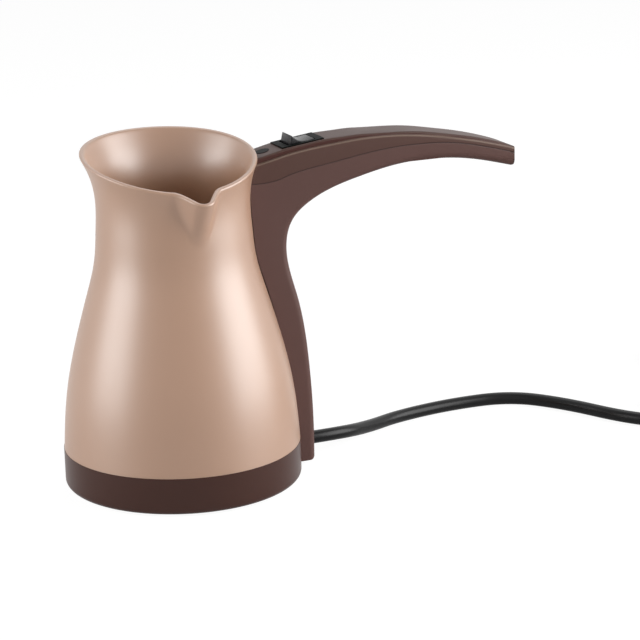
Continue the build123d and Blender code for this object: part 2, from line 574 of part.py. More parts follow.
def arm_screws():
    """The two screws that hold the handle shells together, from below."""
    screws = []
    for place in ARM_SCREW_PLACES:
        seat = crossing(under_arm(), x=place) + SCREW_WELL_DEPTH
        high = crossing(Spline(*xz(STRIP_POINTS)), x=place) - ARM_SCREW_COVER
        length = min(ARM_SCREW_REACH, high - seat) - SCREW_PLAY
        one = screw(SCREW_RADIUS, SCREW_HEAD_RADIUS, SCREW_HEAD_HEIGHT, length)
        screws.append(Pos(place, 0, seat) * one)
    return screws


# -------------------------------------------------------------------------- base
def base_cup():
    """Cup that closes the underside, with the cord's window, saddle and screw bosses."""
    inside = BASE_RADIUS - BASE_WALL
    cup = turned([
        (0, FOOT_STAND), (BASE_RADIUS, FOOT_STAND), (BASE_RADIUS, BAND_TOP),
        (inside, BAND_TOP), (inside, BASE_INSIDE), (0, BASE_INSIDE),
    ])
    rims = [e for e in cup.edges() if e.length > 6 * BASE_RADIUS]
    cup = fillet(ShapeList([e for e in rims if e.center().Z < 1]), BASE_EDGE)
    cup += washer(FOOT_RING_IN - FOOT_PAD_WIDTH, FOOT_RING_OUT + FOOT_PAD_WIDTH, BASE_INSIDE, FOOT_PAD_TOP)
    cup -= washer(FOOT_RING_IN - FOOT_GROOVE_GAP, FOOT_RING_OUT + FOOT_GROOVE_GAP, 0, FOOT_RING_HEIGHT)
    boss = cylinder(SCREW_PAD, BASE_INSIDE, BASE_BOSS_TOP, BASE_SCREW_CIRCLE)
    well = cylinder(SCREW_WELL, 0, BASE_SCREW_SEAT, BASE_SCREW_CIRCLE)
    hole = cylinder(SCREW_HOLE, BASE_SCREW_SEAT, BASE_BOSS_TOP, BASE_SCREW_CIRCLE)
    for solid in round_the_circle(BASE_SCREW_COUNT, BASE_SCREW_START, boss):
        cup += solid
    for solid in round_the_circle(BASE_SCREW_COUNT, BASE_SCREW_START, well + hole):
        cup -= solid
    cup += block(CLAMP_BAR_X, (-CLAMP_BAR_Y, CLAMP_BAR_Y), (BASE_INSIDE, CLAMP_SADDLE_TOP))
    cup -= rod(CORD_RADIUS, (CLAMP_BAR_X[0] - 5, 0, CORD_HEIGHT), (CLAMP_BAR_X[1] + 5, 0, CORD_HEIGHT))
    hole, middle, low = CLAMP_SCREW_RADIUS + SHAFT_GAP, sum(CLAMP_BAR_X) / 2, CLAMP_SCREW_LOW - SCREW_PLAY
    for side in (-1, 1):
        cup -= cylinder(hole, low, CLAMP_BAR_LOW, middle, side * CLAMP_SCREW_Y)
    window = (-WINDOW_HALF_WIDTH, WINDOW_HALF_WIDTH)
    return cup - block((inside - 3, BASE_RADIUS + 3), window, (WINDOW_LOW, WINDOW_HIGH))


def base_screws():
    """The screws that hold the base cup to the pot."""
    length = BASE_SCREW_END - BASE_SCREW_SEAT
    one = screw(SCREW_RADIUS, SCREW_HEAD_RADIUS, SCREW_HEAD_HEIGHT, length)
    one = Pos(BASE_SCREW_CIRCLE, 0, BASE_SCREW_SEAT) * one
    return round_the_circle(BASE_SCREW_COUNT, BASE_SCREW_START, one)


def foot_ring():
    """Rubber ring that the pot stands on."""
    ring = washer(FOOT_RING_IN, FOOT_RING_OUT, 0, FOOT_RING_HEIGHT)
    return chamfer(ShapeList([e for e in ring.edges() if e.center().Z < NEAR]), FOOT_RING_CHAMFER)


# ------------------------------------------------------------- plate and element
def heating_plate():
    """Steel plate on the pot's floor, with the studs that clamp it."""
    plate = cylinder(PLATE_RADIUS, SEAL_TOP, PLATE_TOP)
    stud = cylinder(STUD_RADIUS, STUD_LOW, SEAL_TOP, STUD_CIRCLE)
    for solid in round_the_circle(STUD_COUNT, BASE_SCREW_START, stud):
        plate += solid
    return plate


def clamp_ring():
    """Ring under the flange that the plate's nuts pull up against."""
    ring = washer(CLAMP_IN, CLAMP_OUT, CLAMP_LOW, FLANGE_LOW)
    hole = cylinder(STUD_RADIUS + SHAFT_GAP, CLAMP_LOW, FLANGE_LOW, STUD_CIRCLE)
    for solid in round_the_circle(STUD_COUNT, BASE_SCREW_START, hole):
        ring -= solid
    return ring


def clamp_nuts():
    """Nuts on the plate's studs."""
    nut = hexagon(NUT_SIZE, CLAMP_LOW - NUT_HEIGHT, CLAMP_LOW)
    nut -= cylinder(STUD_RADIUS, CLAMP_LOW - NUT_HEIGHT, CLAMP_LOW)
    return round_the_circle(STUD_COUNT, BASE_SCREW_START, Pos(STUD_CIRCLE, 0, 0) * nut)


def spreader_plate():
    """Thick plate between the element and the heating plate, with two small studs."""
    plate = cylinder(SPREADER_RADIUS, SPREADER_LOW, SEAL_TOP)
    for side in (-1, 1):
        plate += cylinder(SMALL_STUD, SMALL_STUD_LOW, SPREADER_LOW, side * SMALL_STUD_PLACE)
    return plate


def heating_element():
    """Ring-shaped tube under the spreader plate, open towards -X."""
    sweep_angle = 360 - ELEMENT_GAP
    start = 180 + ELEMENT_GAP / 2
    section = Plane.XZ * (Pos(ELEMENT_CIRCLE, ELEMENT_HEIGHT) * Circle(ELEMENT_TUBE))
    return Rot(0, 0, start) * revolve(section, Axis.Z, sweep_angle)


def element_end(side):
    """Point and direction of the element's end on one side of the gap."""
    angle = math.radians(180 - side * ELEMENT_GAP / 2)
    point = Vector(math.cos(angle), math.sin(angle)) * ELEMENT_CIRCLE + Vector(0, 0, ELEMENT_HEIGHT)
    return point, Vector(-math.sin(angle), math.cos(angle)) * side


def tab_place(side):
    """Where an element tab hangs from its pin."""
    point, way = element_end(side)
    return point + way * (PIN_LENGTH - 1)


def element_pins():
    """Cold pins of the element, each with a tab for a connector."""
    pieces = []
    for side in (-1, 1):
        point, way = element_end(side)
        place = tab_place(side)
        tab = blade(TAB_LOW, ELEMENT_HEIGHT + 2)
        pieces.append(rod(PIN_RADIUS, point, point + way * PIN_LENGTH) + Pos(place.X, place.Y, 0) * tab)
    return pieces


def thermostat():
    """Bimetal thermostat pressed against the middle of the spreader plate."""
    cap = cylinder(THERMOSTAT_CAP, BRACKET_HIGH, SPREADER_LOW)
    body = cylinder(THERMOSTAT_BODY, THERMOSTAT_LOW, BRACKET_HIGH)
    one = blade(THERMOSTAT_BLADE_LOW, THERMOSTAT_LOW)
    return cap + body + Pos(THERMOSTAT_BLADE, 0, 0) * one + Pos(-THERMOSTAT_BLADE, 0, 0) * one


def thermostat_bracket():
    """Strap that holds the thermostat up, on the spreader plate's studs."""
    x, y = BRACKET_HALF
    strap = block((-x, x), (-y, y), (BRACKET_LOW, BRACKET_HIGH))
    strap += cylinder(THERMOSTAT_CAP, BRACKET_LOW, BRACKET_HIGH)
    strap -= cylinder(THERMOSTAT_BODY, BRACKET_LOW, BRACKET_HIGH)
    for side in (-1, 1):
        strap -= cylinder(SMALL_STUD + SHAFT_GAP, BRACKET_LOW, BRACKET_HIGH, side * SMALL_STUD_PLACE)
    return strap


def bracket_nuts():
    """Nuts on the spreader plate's studs."""
    nut = hexagon(SMALL_NUT_SIZE, BRACKET_LOW - SMALL_NUT_HEIGHT, BRACKET_LOW)
    nut -= cylinder(SMALL_STUD, BRACKET_LOW - SMALL_NUT_HEIGHT, BRACKET_LOW)
    return [Pos(side * SMALL_STUD_PLACE, 0, 0) * nut for side in (-1, 1)]


def thermal_fuse():
    """Thermal fuse in the neutral line, beside the thermostat."""
    fuse = rod(FUSE_RADIUS, (-FUSE_HALF, FUSE_Y, FUSE_Z), (FUSE_HALF, FUSE_Y, FUSE_Z))
    return fuse & block((-FUSE_HALF, FUSE_HALF), (0, 2 * FUSE_Y), (0, SPREADER_LOW))


def earth_tab():
    """Earth tab held under one of the plate's clamp nuts' ring."""
    thickness = 2 * BLADE_HALF[0]
    across = (-BLADE_HALF[1], BLADE_HALF[1])
    leg = block((EARTH_BLADE_PLACE, CLAMP_OUT - 2), across, (CLAMP_LOW - thickness, CLAMP_LOW))
    hanging = block((EARTH_BLADE_PLACE, EARTH_BLADE_PLACE + thickness), across, (EARTH_BLADE_LOW, CLAMP_LOW))
    return Rot(0, 0, EARTH_ANGLE) * (leg + hanging)


# ------------------------------------------------------------------ rocker switch
def about(height, angle, piece):
    """A piece turned about the Y direction at a height of the switch's frame."""
    return Pos(0, 0, height) * Rot(0, angle, 0) * Pos(0, 0, -height) * piece


def switch_housing():
    """Bezel and box of the switch, with holes for the rocker's pins and the blades."""
    x, y = BEZEL_LENGTH / 2, BEZEL_WIDTH / 2
    bezel = block((-x, x), (-y, y), (0, BEZEL_HEIGHT))
    upper = [e for e in bezel.edges() if e.center().Z > BEZEL_HEIGHT - NEAR]
    bezel = fillet(ShapeList(upper), BEZEL_ROUNDING)
    x, y = SWITCH_LENGTH / 2, SWITCH_WIDTH / 2
    box = bezel + block((-x, x), (-y, y), (-SWITCH_DEPTH, 0))
    inner = (x - SWITCH_WALL, y - SWITCH_WALL)
    box -= block((-inner[0], inner[0]), (-inner[1], inner[1]), (SWITCH_WALL - SWITCH_DEPTH, 0))
    opening = ROCKER_OPENING
    box -= block((-opening[0], opening[0]), (-opening[1], opening[1]), (-1, REACH))
    pin_hole = ROCKER_PIN + SHAFT_GAP
    end = y - ROCKER_PIN_COVER
    box -= rod(pin_hole, (0, -end, ROCKER_PIVOT), (0, end, ROCKER_PIVOT))
    slot = blade(-SWITCH_DEPTH, SWITCH_WALL - SWITCH_DEPTH)
    return box - slot - Pos(FIXED_BLADE, 0, 0) * slot


def rocker_neutral():
    """The rocker in the middle of its travel."""
    (px, pz), (sx, sz), (fx, fz) = ROCKER_PEAK, ROCKER_SIDE, ROCKER_FOOT
    dish = ThreePointArc((-px, 0, pz), (0, 0, ROCKER_DISH), (px, 0, pz))
    corners = [(px, pz), (sx, sz), (fx, fz), (-fx, fz), (-sx, sz), (-px, pz)]
    lines = [joined((a[0], 0, a[1]), (b[0], 0, b[1])) for a, b in zip(corners, corners[1:])]
    rocker = slab([dish] + lines, ROCKER_HALF_WIDTH)
    y = ROCKER_HALF_WIDTH - ROCKER_WALL
    rocker -= block((-fx + ROCKER_WALL, fx - ROCKER_WALL), (-y, y), (fz, ROCKER_ROOF))
    rocker += cylinder(PLUNGER_TUBE, PLUNGER_TUBE_LOW, 0)
    rocker -= cylinder(PLUNGER_BORE, PLUNGER_TUBE_LOW, PLUNGER_BORE_TOP)
    end = SWITCH_WIDTH / 2 - ROCKER_PIN_COVER - 0.2
    for side in (-1, 1):
        rocker += rod(ROCKER_PIN, (0, side * (y + 0.3), ROCKER_PIVOT), (0, side * end, ROCKER_PIVOT))
    return rocker


def switch_plunger():
    """Plunger in the rocker's tube, with a round tip."""
    tip = PLUNGER_TIP + PLUNGER_RADIUS
    return cylinder(PLUNGER_RADIUS, tip, PLUNGER_TOP) + Pos(0, 0, tip) * Sphere(PLUNGER_RADIUS)


def plunger_spring():
    """Spring that pushes the plunger out."""
    low = PLUNGER_TOP + SPRING_WIRE
    path = Pos(0, 0, low) * Helix(SPRING_PITCH, PLUNGER_BORE_TOP - SPRING_WIRE - low, SPRING_COIL)
    return sweep(Plane(origin=path @ 0, z_dir=path % 0) * Circle(SPRING_WIRE), path=path)


def contact_lever():
    """See-saw contact that the plunger tips from side to side, level."""
    x, y, z = LEVER_HALF
    lever = block((-x, x), (-y, y), (LEVER_PIVOT - z, LEVER_PIVOT + z))
    lever += rod(LEVER_PIN, (0, -EAR_OUT, LEVER_PIVOT), (0, EAR_OUT, LEVER_PIVOT))
    return lever + cylinder(CONTACT_RADIUS, LEVER_PIVOT - z - CONTACT_STEP, LEVER_PIVOT, CONTACT_PLACE)


def switch_terminals():
    """Common terminal with ears for the lever, and the fixed contact."""
    floor = SWITCH_WALL - SWITCH_DEPTH
    x, y = BLADE_HALF
    along, strip = (-STRIP_HALF, STRIP_HALF), (floor, floor + STRIP_THICKNESS)
    common = blade(BLADE_LOW, floor) + block(along, (-EAR_OUT, EAR_OUT), strip)
    for side in (-1, 1):
        common += block(along, sorted((side * EAR_IN, side * EAR_OUT)), (floor, EAR_TOP))
    common -= rod(LEVER_PIN + SHAFT_GAP, (0, -REACH, LEVER_PIVOT), (0, REACH, LEVER_PIVOT))
    fixed = Pos(FIXED_BLADE, 0, 0) * blade(BLADE_LOW, floor)
    fixed += block((CONTACT_PLACE - CONTACT_RADIUS - NEAR, FIXED_BLADE + x), (-y, y), strip)
    fixed += cylinder(CONTACT_RADIUS, floor, floor + STRIP_THICKNESS + 0.2, CONTACT_PLACE)
    return [common, fixed]


def connector():
    """Push-on connector, its open end at the origin and its wire barrel downwards."""
    x, y = CONNECTOR_HALF
    body = block((-x, x), (-y, y), (-CONNECTOR_LENGTH, 0))
    body = fillet(body.edges().filter_by(Axis.Z), CONNECTOR_ROUNDING)
    body += cylinder(BARREL_RADIUS, -CONNECTOR_LENGTH - BARREL_LENGTH, -CONNECTOR_LENGTH)
    body -= cylinder(WIRE_RADIUS + SHAFT_GAP, -CONNECTOR_LENGTH - BARREL_LENGTH, -CONNECTOR_LENGTH)
    return body - blade(CONNECTOR_FLOOR - CONNECTOR_LENGTH, 0)


CONNECTOR_PLACES = {
    "common": SWITCH_PLACE * Pos(0, 0, -SWITCH_DEPTH),
    "fixed": SWITCH_PLACE * Pos(FIXED_BLADE, 0, -SWITCH_DEPTH),
    "thermostat_in": Pos(THERMOSTAT_BLADE, 0, THERMOSTAT_LOW),
    "thermostat_out": Pos(-THERMOSTAT_BLADE, 0, THERMOSTAT_LOW),
    "element_in": Pos(tab_place(-1).X, tab_place(-1).Y, TAB_LOW + CONNECTOR_LENGTH - CONNECTOR_FLOOR),
    "element_out": Pos(tab_place(1).X, tab_place(1).Y, TAB_LOW + CONNECTOR_LENGTH - CONNECTOR_FLOOR),
}


def wire_end(name):
    """Where a wire ends inside a connector's barrel."""
    return tuple((CONNECTOR_PLACES[name] * Pos(0, 0, -CONNECTOR_LENGTH - SHAFT_GAP)).position)


# --------------------------------------------------------------------- pilot light
def indicator_lens():
    """Smoked lens of the pilot light, sunk a little below the handle's top."""
    lens = cylinder(LENS_RADIUS, LENS_FLANGE_TOP, -LENS_RECESS)
    return lens + cylinder(LENS_FLANGE, LENS_FLANGE_LOW, LENS_FLANGE_TOP)


def neon_lamp():
    """Neon lamp under the lens."""
    centre = LENS_FLANGE_LOW - NEON_RADIUS
    return cylinder(NEON_RADIUS, NEON_LOW, centre) + Pos(0, 0, centre) * Sphere(NEON_RADIUS)


def lamp_sleeve():
    """Sleeve that holds the lamp against the lens."""
    return washer(NEON_RADIUS, SLEEVE_RADIUS, SLEEVE_LOW, LENS_FLANGE_LOW)


# --------------------------------------------------------------------------- wires
def wire(*points):
    """One insulated wire."""
    return pipe(WIRE_RADIUS, WIRE_BEND, *points)


def live_wire():
    """Brown wire from the cord up the column to the switch's fixed contact."""
    return wire(*LIVE_POINTS, wire_end("fixed"))


def switched_wire():
    """Wire from the switch's common terminal back down to the thermostat."""
    return wire(wire_end("common"), *SWITCHED_POINTS, wire_end("thermostat_in"))


def neutral_wire():
    """Blue wire from the cord to the thermal fuse, and from the fuse to the element."""
    reach = FUSE_HALF + SHAFT_GAP
    first = wire(*NEUTRAL_POINTS, (reach, FUSE_Y, FUSE_Z))
    return [first, wire((-reach, FUSE_Y, FUSE_Z), *FUSE_POINTS, wire_end("element_out"))]


def link_wire():
    """Wire from the thermostat to the element."""
    return wire(wire_end("thermostat_out"), *LINK_POINTS, wire_end("element_in"))


def earth_wire():
    """Earth wire from the cord to the tab on the heating plate's clamp ring."""
    below = Pos(EARTH_BLADE_PLACE + BLADE_HALF[0], 0, EARTH_BLADE_LOW - SHAFT_GAP)
    end = (Rot(0, 0, EARTH_ANGLE) * below).position
    return wire(*EARTH_POINTS, tuple(end - Vector(0, 0, EARTH_RISE)), tuple(end))


# ------------------------------------------------------------------------ cord set
def cord_grommet():
    """Grommet where the cord leaves the column."""
    inner, y, z = CORD_RADIUS, 0, CORD_HEIGHT
    neck = rod(GROMMET_NECK, (GROMMET_BACK, y, z), (COLUMN_BACK, y, z))
    outer = rod(GROMMET_OUT, (COLUMN_BACK, y, z), (GROMMET_FACE, y, z))
    back = rod(GROMMET_IN, (GROMMET_DEEP, y, z), (GROMMET_BACK, y, z))
    return neck + outer + back - rod(inner, (GROMMET_DEEP, y, z), (GROMMET_FACE, y, z))


def cord_clamp():
    """Bar that presses the cord into its saddle."""
    bar = block(CLAMP_BAR_X, (-CLAMP_BAR_Y, CLAMP_BAR_Y), (CLAMP_BAR_LOW, CLAMP_BAR_TOP))
    bar -= rod(CORD_RADIUS, (CLAMP_BAR_X[0] - 1, 0, CORD_HEIGHT), (CLAMP_BAR_X[1] + 1, 0, CORD_HEIGHT))
    hole, middle = CLAMP_SCREW_RADIUS + SHAFT_GAP, sum(CLAMP_BAR_X) / 2
    for side in (-1, 1):
        bar -= cylinder(hole, CLAMP_BAR_LOW, CLAMP_BAR_TOP, middle, side * CLAMP_SCREW_Y)
    return bar


def clamp_screws():
    """The clamp bar's screws, driven from above."""
    length = CLAMP_BAR_TOP - CLAMP_SCREW_LOW
    one = Rot(180, 0, 0) * screw(CLAMP_SCREW_RADIUS, CLAMP_SCREW_HEAD, CLAMP_SCREW_HEAD_HEIGHT, length)
    middle = sum(CLAMP_BAR_X) / 2
    return [Pos(middle, side * CLAMP_SCREW_Y, CLAMP_BAR_TOP) * one for side in (-1, 1)]


def cord_coil():
    """The coiled part of the cord, as one ring of its turns."""
    middle, across = (COIL_IN + COIL_OUT) / 2, COIL_OUT - COIL_IN + 2 * CORD_RADIUS
    turns = Pos(middle, CORD_RADIUS) * SlotOverall(across, 2 * CORD_RADIUS)
    turns += Pos(middle, COIL_TOP) * Circle(CORD_RADIUS)
    coil = Pos(COIL_CENTRE[0], COIL_CENTRE[1], 0) * revolve(Plane.XZ * turns, Axis.Z, 360)
    return coil - coil_tie(TIE_NOTCH_GAP)


def coil_tie(grow=0.0):
    """Strap round the coil's turns; with grow, the notch that lets it pass under them."""
    middle = (COIL_IN + COIL_OUT) / 2
    across, high = COIL_OUT - COIL_IN + 2 * CORD_RADIUS, COIL_TOP + CORD_RADIUS
    inner = Rectangle(across, high - TIE_THICKNESS)
    outer = Rectangle(across + 2 * TIE_THICKNESS, high + TIE_THICKNESS)
    section = Plane.XZ * (Pos(middle, (high + TIE_THICKNESS) / 2) * (outer - inner))
    strap = Rot(0, 0, TIE_ANGLE - grow) * revolve(section, Axis.Z, TIE_SPAN + 2 * grow)
    return Pos(COIL_CENTRE[0], COIL_CENTRE[1], 0) * strap


def cord_tail():
    """Last piece of the cord, from the coil into the plug."""
    x, y = COIL_CENTRE[0] + (COIL_IN + COIL_OUT) / 2, COIL_CENTRE[1]
    return pipe(CORD_RADIUS, CORD_BEND, (x, y - 6, COIL_TOP), *TAIL_POINTS)


def plug_body():
    """Moulded plug with its strain relief, side notches and pins' face."""
    outline = Wire.make_polygon([Vector(r, y, 0) for y, r in PLUG_PROFILE], close=True)
    body = Pos(PLUG_X, 0, PLUG_AXIS) * revolve(Face(outline), Axis.Y, 360)
    circles = []
    path = Spline(*[(PLUG_X, y, z) for y, z, _ in RELIEF_SECTIONS])
    for i, (y, z, r) in enumerate(RELIEF_SECTIONS):
        share = i / (len(RELIEF_SECTIONS) - 1)
        circles.append(Plane(origin=(PLUG_X, y, z), z_dir=path % share) * Circle(r))
    body += loft(circles)
    front, low = PLUG_PROFILE[-1][0], PLUG_NOTCH_FLOOR
    notch = block((-PLUG_NOTCH_HALF, PLUG_NOTCH_HALF), (PLUG_NOTCH_START, front), (low, low + 9))
    body -= Pos(PLUG_X, 0, PLUG_AXIS) * (notch + Rot(0, 180, 0) * notch)
    for pin in plug_pins():
        body -= pin
    return body - cord_tail()


def plug_pins():
    """The plug's two round pins."""
    pins = []
    for side in (-1, 1):
        x, tip = PLUG_X + side * PLUG_PIN_APART / 2, PLUG_PIN_END - PLUG_PIN_RADIUS
        pin = rod(PLUG_PIN_RADIUS, (x, PLUG_PIN_ROOT, PLUG_AXIS), (x, tip, PLUG_AXIS))
        pins.append(pin + Pos(x, tip, PLUG_AXIS) * Sphere(PLUG_PIN_RADIUS))
    return pins


def plug_earth_contacts():
    """Earth strips in the plug's two side notches."""
    x, front = EARTH_STRIP_HALF, PLUG_PROFILE[-1][0] - 1
    low, high = PLUG_NOTCH_FLOOR, PLUG_NOTCH_FLOOR + EARTH_STRIP_THICKNESS
    strip = block((-x, x), (PLUG_NOTCH_START + 1, front), (low, high))
    place = Pos(PLUG_X, 0, PLUG_AXIS)
    return [place * strip, place * Rot(0, 180, 0) * strip]


# ---------------------------------------------------------------------- write all
os.makedirs("parts", exist_ok=True)
lower_shell, upper_shell = handle_shells()
cord_inner = rod(CORD_RADIUS, (CORD_INNER_END, 0, CORD_HEIGHT), (GROMMET_FACE, 0, CORD_HEIGHT))
write("pot_body", pot_body())
write("handle_lower_shell", lower_shell)
write("handle_upper_shell", upper_shell)
write("arm_screws", *arm_screws())
write("column_screws", *column_screws())
write("base_cup", base_cup())
write("base_screws", *base_screws())
write("foot_ring", foot_ring())
write("heating_plate", heating_plate())
write("plate_seal", washer(FLANGE_BORE + 0.5, PLATE_RADIUS, FLANGE_TOP, SEAL_TOP))
write("clamp_ring", clamp_ring())
write("clamp_nuts", *clamp_nuts())
write("spreader_plate", spreader_plate())
write("heating_element", heating_element())
write("element_pins", *element_pins())
write("thermostat", thermostat())
write("thermostat_bracket", thermostat_bracket())
write("bracket_nuts", *bracket_nuts())
write("thermal_fuse", thermal_fuse())
write("earth_tab", earth_tab())
write("switch_housing", SWITCH_PLACE * switch_housing())
write("switch_rocker", SWITCH_PLACE * about(ROCKER_PIVOT, ROCKER_TILT, rocker_neutral()))
write("switch_plunger", SWITCH_PLACE * about(ROCKER_PIVOT, ROCKER_TILT, switch_plunger()))
write("plunger_spring", SWITCH_PLACE * about(ROCKER_PIVOT, ROCKER_TILT, plunger_spring()))
write("contact_lever", SWITCH_PLACE * about(LEVER_PIVOT, LEVER_TILT, contact_lever()))
write("switch_terminals", *[SWITCH_PLACE * solid for solid in switch_terminals()])
write("spade_connectors", *[place * connector() for place in CONNECTOR_PLACES.values()])
write("indicator_lens", LAMP_PLACE * indicator_lens())
write("neon_lamp", LAMP_PLACE * neon_lamp())
write("lamp_sleeve", LAMP_PLACE * lamp_sleeve())
write("live_wire", live_wire())
write("switched_wire", switched_wire())
write("neutral_wire", *neutral_wire())
write("link_wire", link_wire())
write("earth_wire", earth_wire())
write("cord_inner", cord_inner)
write("cord_grommet", cord_grommet())
write("cord_clamp", cord_clamp())
write("clamp_screws", *clamp_screws())
write("power_cord", pipe(CORD_RADIUS, CORD_SWEEP, *CORD_POINTS))
write("cord_coil", cord_coil())
write("coil_tie", coil_tie())
write("cord_tail", cord_tail())
write("plug_body", plug_body())
write("plug_pins", *plug_pins())
write("plug_earth_contacts", *plug_earth_contacts())
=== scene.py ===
import json
import logging
import math
from dataclasses import dataclass, field
from enum import Enum
from typing import Sequence, Union

import bpy
from mathutils import Matrix, Vector

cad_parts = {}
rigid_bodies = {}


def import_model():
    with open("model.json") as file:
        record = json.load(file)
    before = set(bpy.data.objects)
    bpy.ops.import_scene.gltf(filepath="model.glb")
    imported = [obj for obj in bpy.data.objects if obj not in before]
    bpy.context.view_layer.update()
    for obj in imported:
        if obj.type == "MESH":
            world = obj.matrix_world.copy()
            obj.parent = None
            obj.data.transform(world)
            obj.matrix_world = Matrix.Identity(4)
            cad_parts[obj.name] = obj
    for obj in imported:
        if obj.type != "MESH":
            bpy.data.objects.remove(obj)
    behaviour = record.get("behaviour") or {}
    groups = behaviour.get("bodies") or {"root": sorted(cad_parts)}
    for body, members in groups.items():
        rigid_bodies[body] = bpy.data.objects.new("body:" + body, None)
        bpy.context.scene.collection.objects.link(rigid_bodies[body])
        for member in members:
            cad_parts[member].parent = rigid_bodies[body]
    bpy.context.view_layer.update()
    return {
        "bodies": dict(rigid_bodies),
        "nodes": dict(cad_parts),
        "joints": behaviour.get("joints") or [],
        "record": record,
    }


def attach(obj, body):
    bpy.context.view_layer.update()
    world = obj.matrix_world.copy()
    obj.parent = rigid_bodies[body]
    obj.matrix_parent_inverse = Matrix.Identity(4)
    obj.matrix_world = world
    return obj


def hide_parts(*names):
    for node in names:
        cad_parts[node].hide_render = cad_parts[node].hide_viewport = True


LOG = logging.getLogger("coffee_pot")
MM = 0.001
CURVE_LOW, CURVE_TALL = 100.0, 100.0  # lowest height of a shader's drawn line and its span, in millimetres
MERGE_REACH = 0.00001  # points of a CAD mesh closer than this are one, in metres
PICK_REACH = 0.01  # faces and points closer than this to a place lie on it, in millimetres
WHITE = (1, 1, 1, 1)
MIX_FACTOR, MIX_FIRST, MIX_SECOND, MIX_COLOUR = 0, 6, 7, 2  # sockets of a Mix node for colours

# noises of the finishes: scale, detail, roughness
CLOUD = (45, 4, 0.55)
STAIN = (60, 4, 0.5)
DUST = (120, 4, 0.6)
WEAR = (260, 5, 0.6)
LENS_CLOUD = (500, 2, 0.5)
SHEATH_GRAIN = (1500, 3, 0.6)
PLASTIC_GRAIN = (2600, 2, 0.5)

Point = tuple[float, float, float]
Colour = tuple[float, float, float]
Line = Sequence[tuple[float, float]]


def linear(red: int, green: int, blue: int) -> Colour:
    """Turns a screen colour into a shader's linear colour, by the sRGB transfer curve.

    Args:
        red: red, from 0 to 255.
        green: green, from 0 to 255.
        blue: blue, from 0 to 255.

    Returns:
        The linear colour.
    """
    shares = [value / 255 for value in (red, green, blue)]
    return tuple(s / 12.92 if s <= 0.04045 else ((s + 0.055) / 1.055) ** 2.4 for s in shares)


# ------------------------------------------------------------------ shader maths
class Socket:
    """Wraps a node socket so that shader maths reads as Python arithmetic."""

    def __init__(self, graph: "Graph", socket: bpy.types.NodeSocket) -> None:
        """Keeps the graph and the output socket that it wraps."""
        self.graph = graph
        self.socket = socket

    def _math(self, operation: str, *values: Union["Socket", float]) -> "Socket":
        """Adds a Math node.

        Args:
            operation: the Math node's operation.
            values: its inputs in order.

        Returns:
            The node's output.
        """
        links = dict(enumerate(values))
        return self.graph.add("ShaderNodeMath", {"operation": operation}, links)

    def __add__(self, other: Union["Socket", float]) -> "Socket":
        """Returns the sum."""
        return self._math("ADD", self, other)

    def __radd__(self, other: float) -> "Socket":
        """Returns the sum."""
        return self._math("ADD", other, self)

    def __sub__(self, other: Union["Socket", float]) -> "Socket":
        """Returns the difference."""
        return self._math("SUBTRACT", self, other)

    def __rsub__(self, other: float) -> "Socket":
        """Returns the difference, the other way round."""
        return self._math("SUBTRACT", other, self)

    def __mul__(self, other: Union["Socket", float]) -> "Socket":
        """Returns the product."""
        return self._math("MULTIPLY", self, other)

    def __rmul__(self, other: float) -> "Socket":
        """Returns the product."""
        return self._math("MULTIPLY", other, self)

    def __truediv__(self, other: Union["Socket", float]) -> "Socket":
        """Returns the quotient."""
        return self._math("DIVIDE", self, other)

    def __abs__(self) -> "Socket":
        """Returns the size of the value, without its sign."""
        return self._math("ABSOLUTE", self)

    def clamped(self) -> "Socket":
        """Returns the value held between 0 and 1."""
        return self.graph.add("ShaderNodeClamp", {}, {0: self})

    def over(self, level: Union["Socket", float], soft: float) -> "Socket":
        """Returns 0 below a level, rising to 1 within a soft step above it."""
        return ((self - level) / soft).clamped()

    def near(self, level: Union["Socket", float], width: float) -> "Socket":
        """Returns 1 at a level, falling to 0 at a width from it."""
        return (1.0 - abs(self - level) / width).clamped()


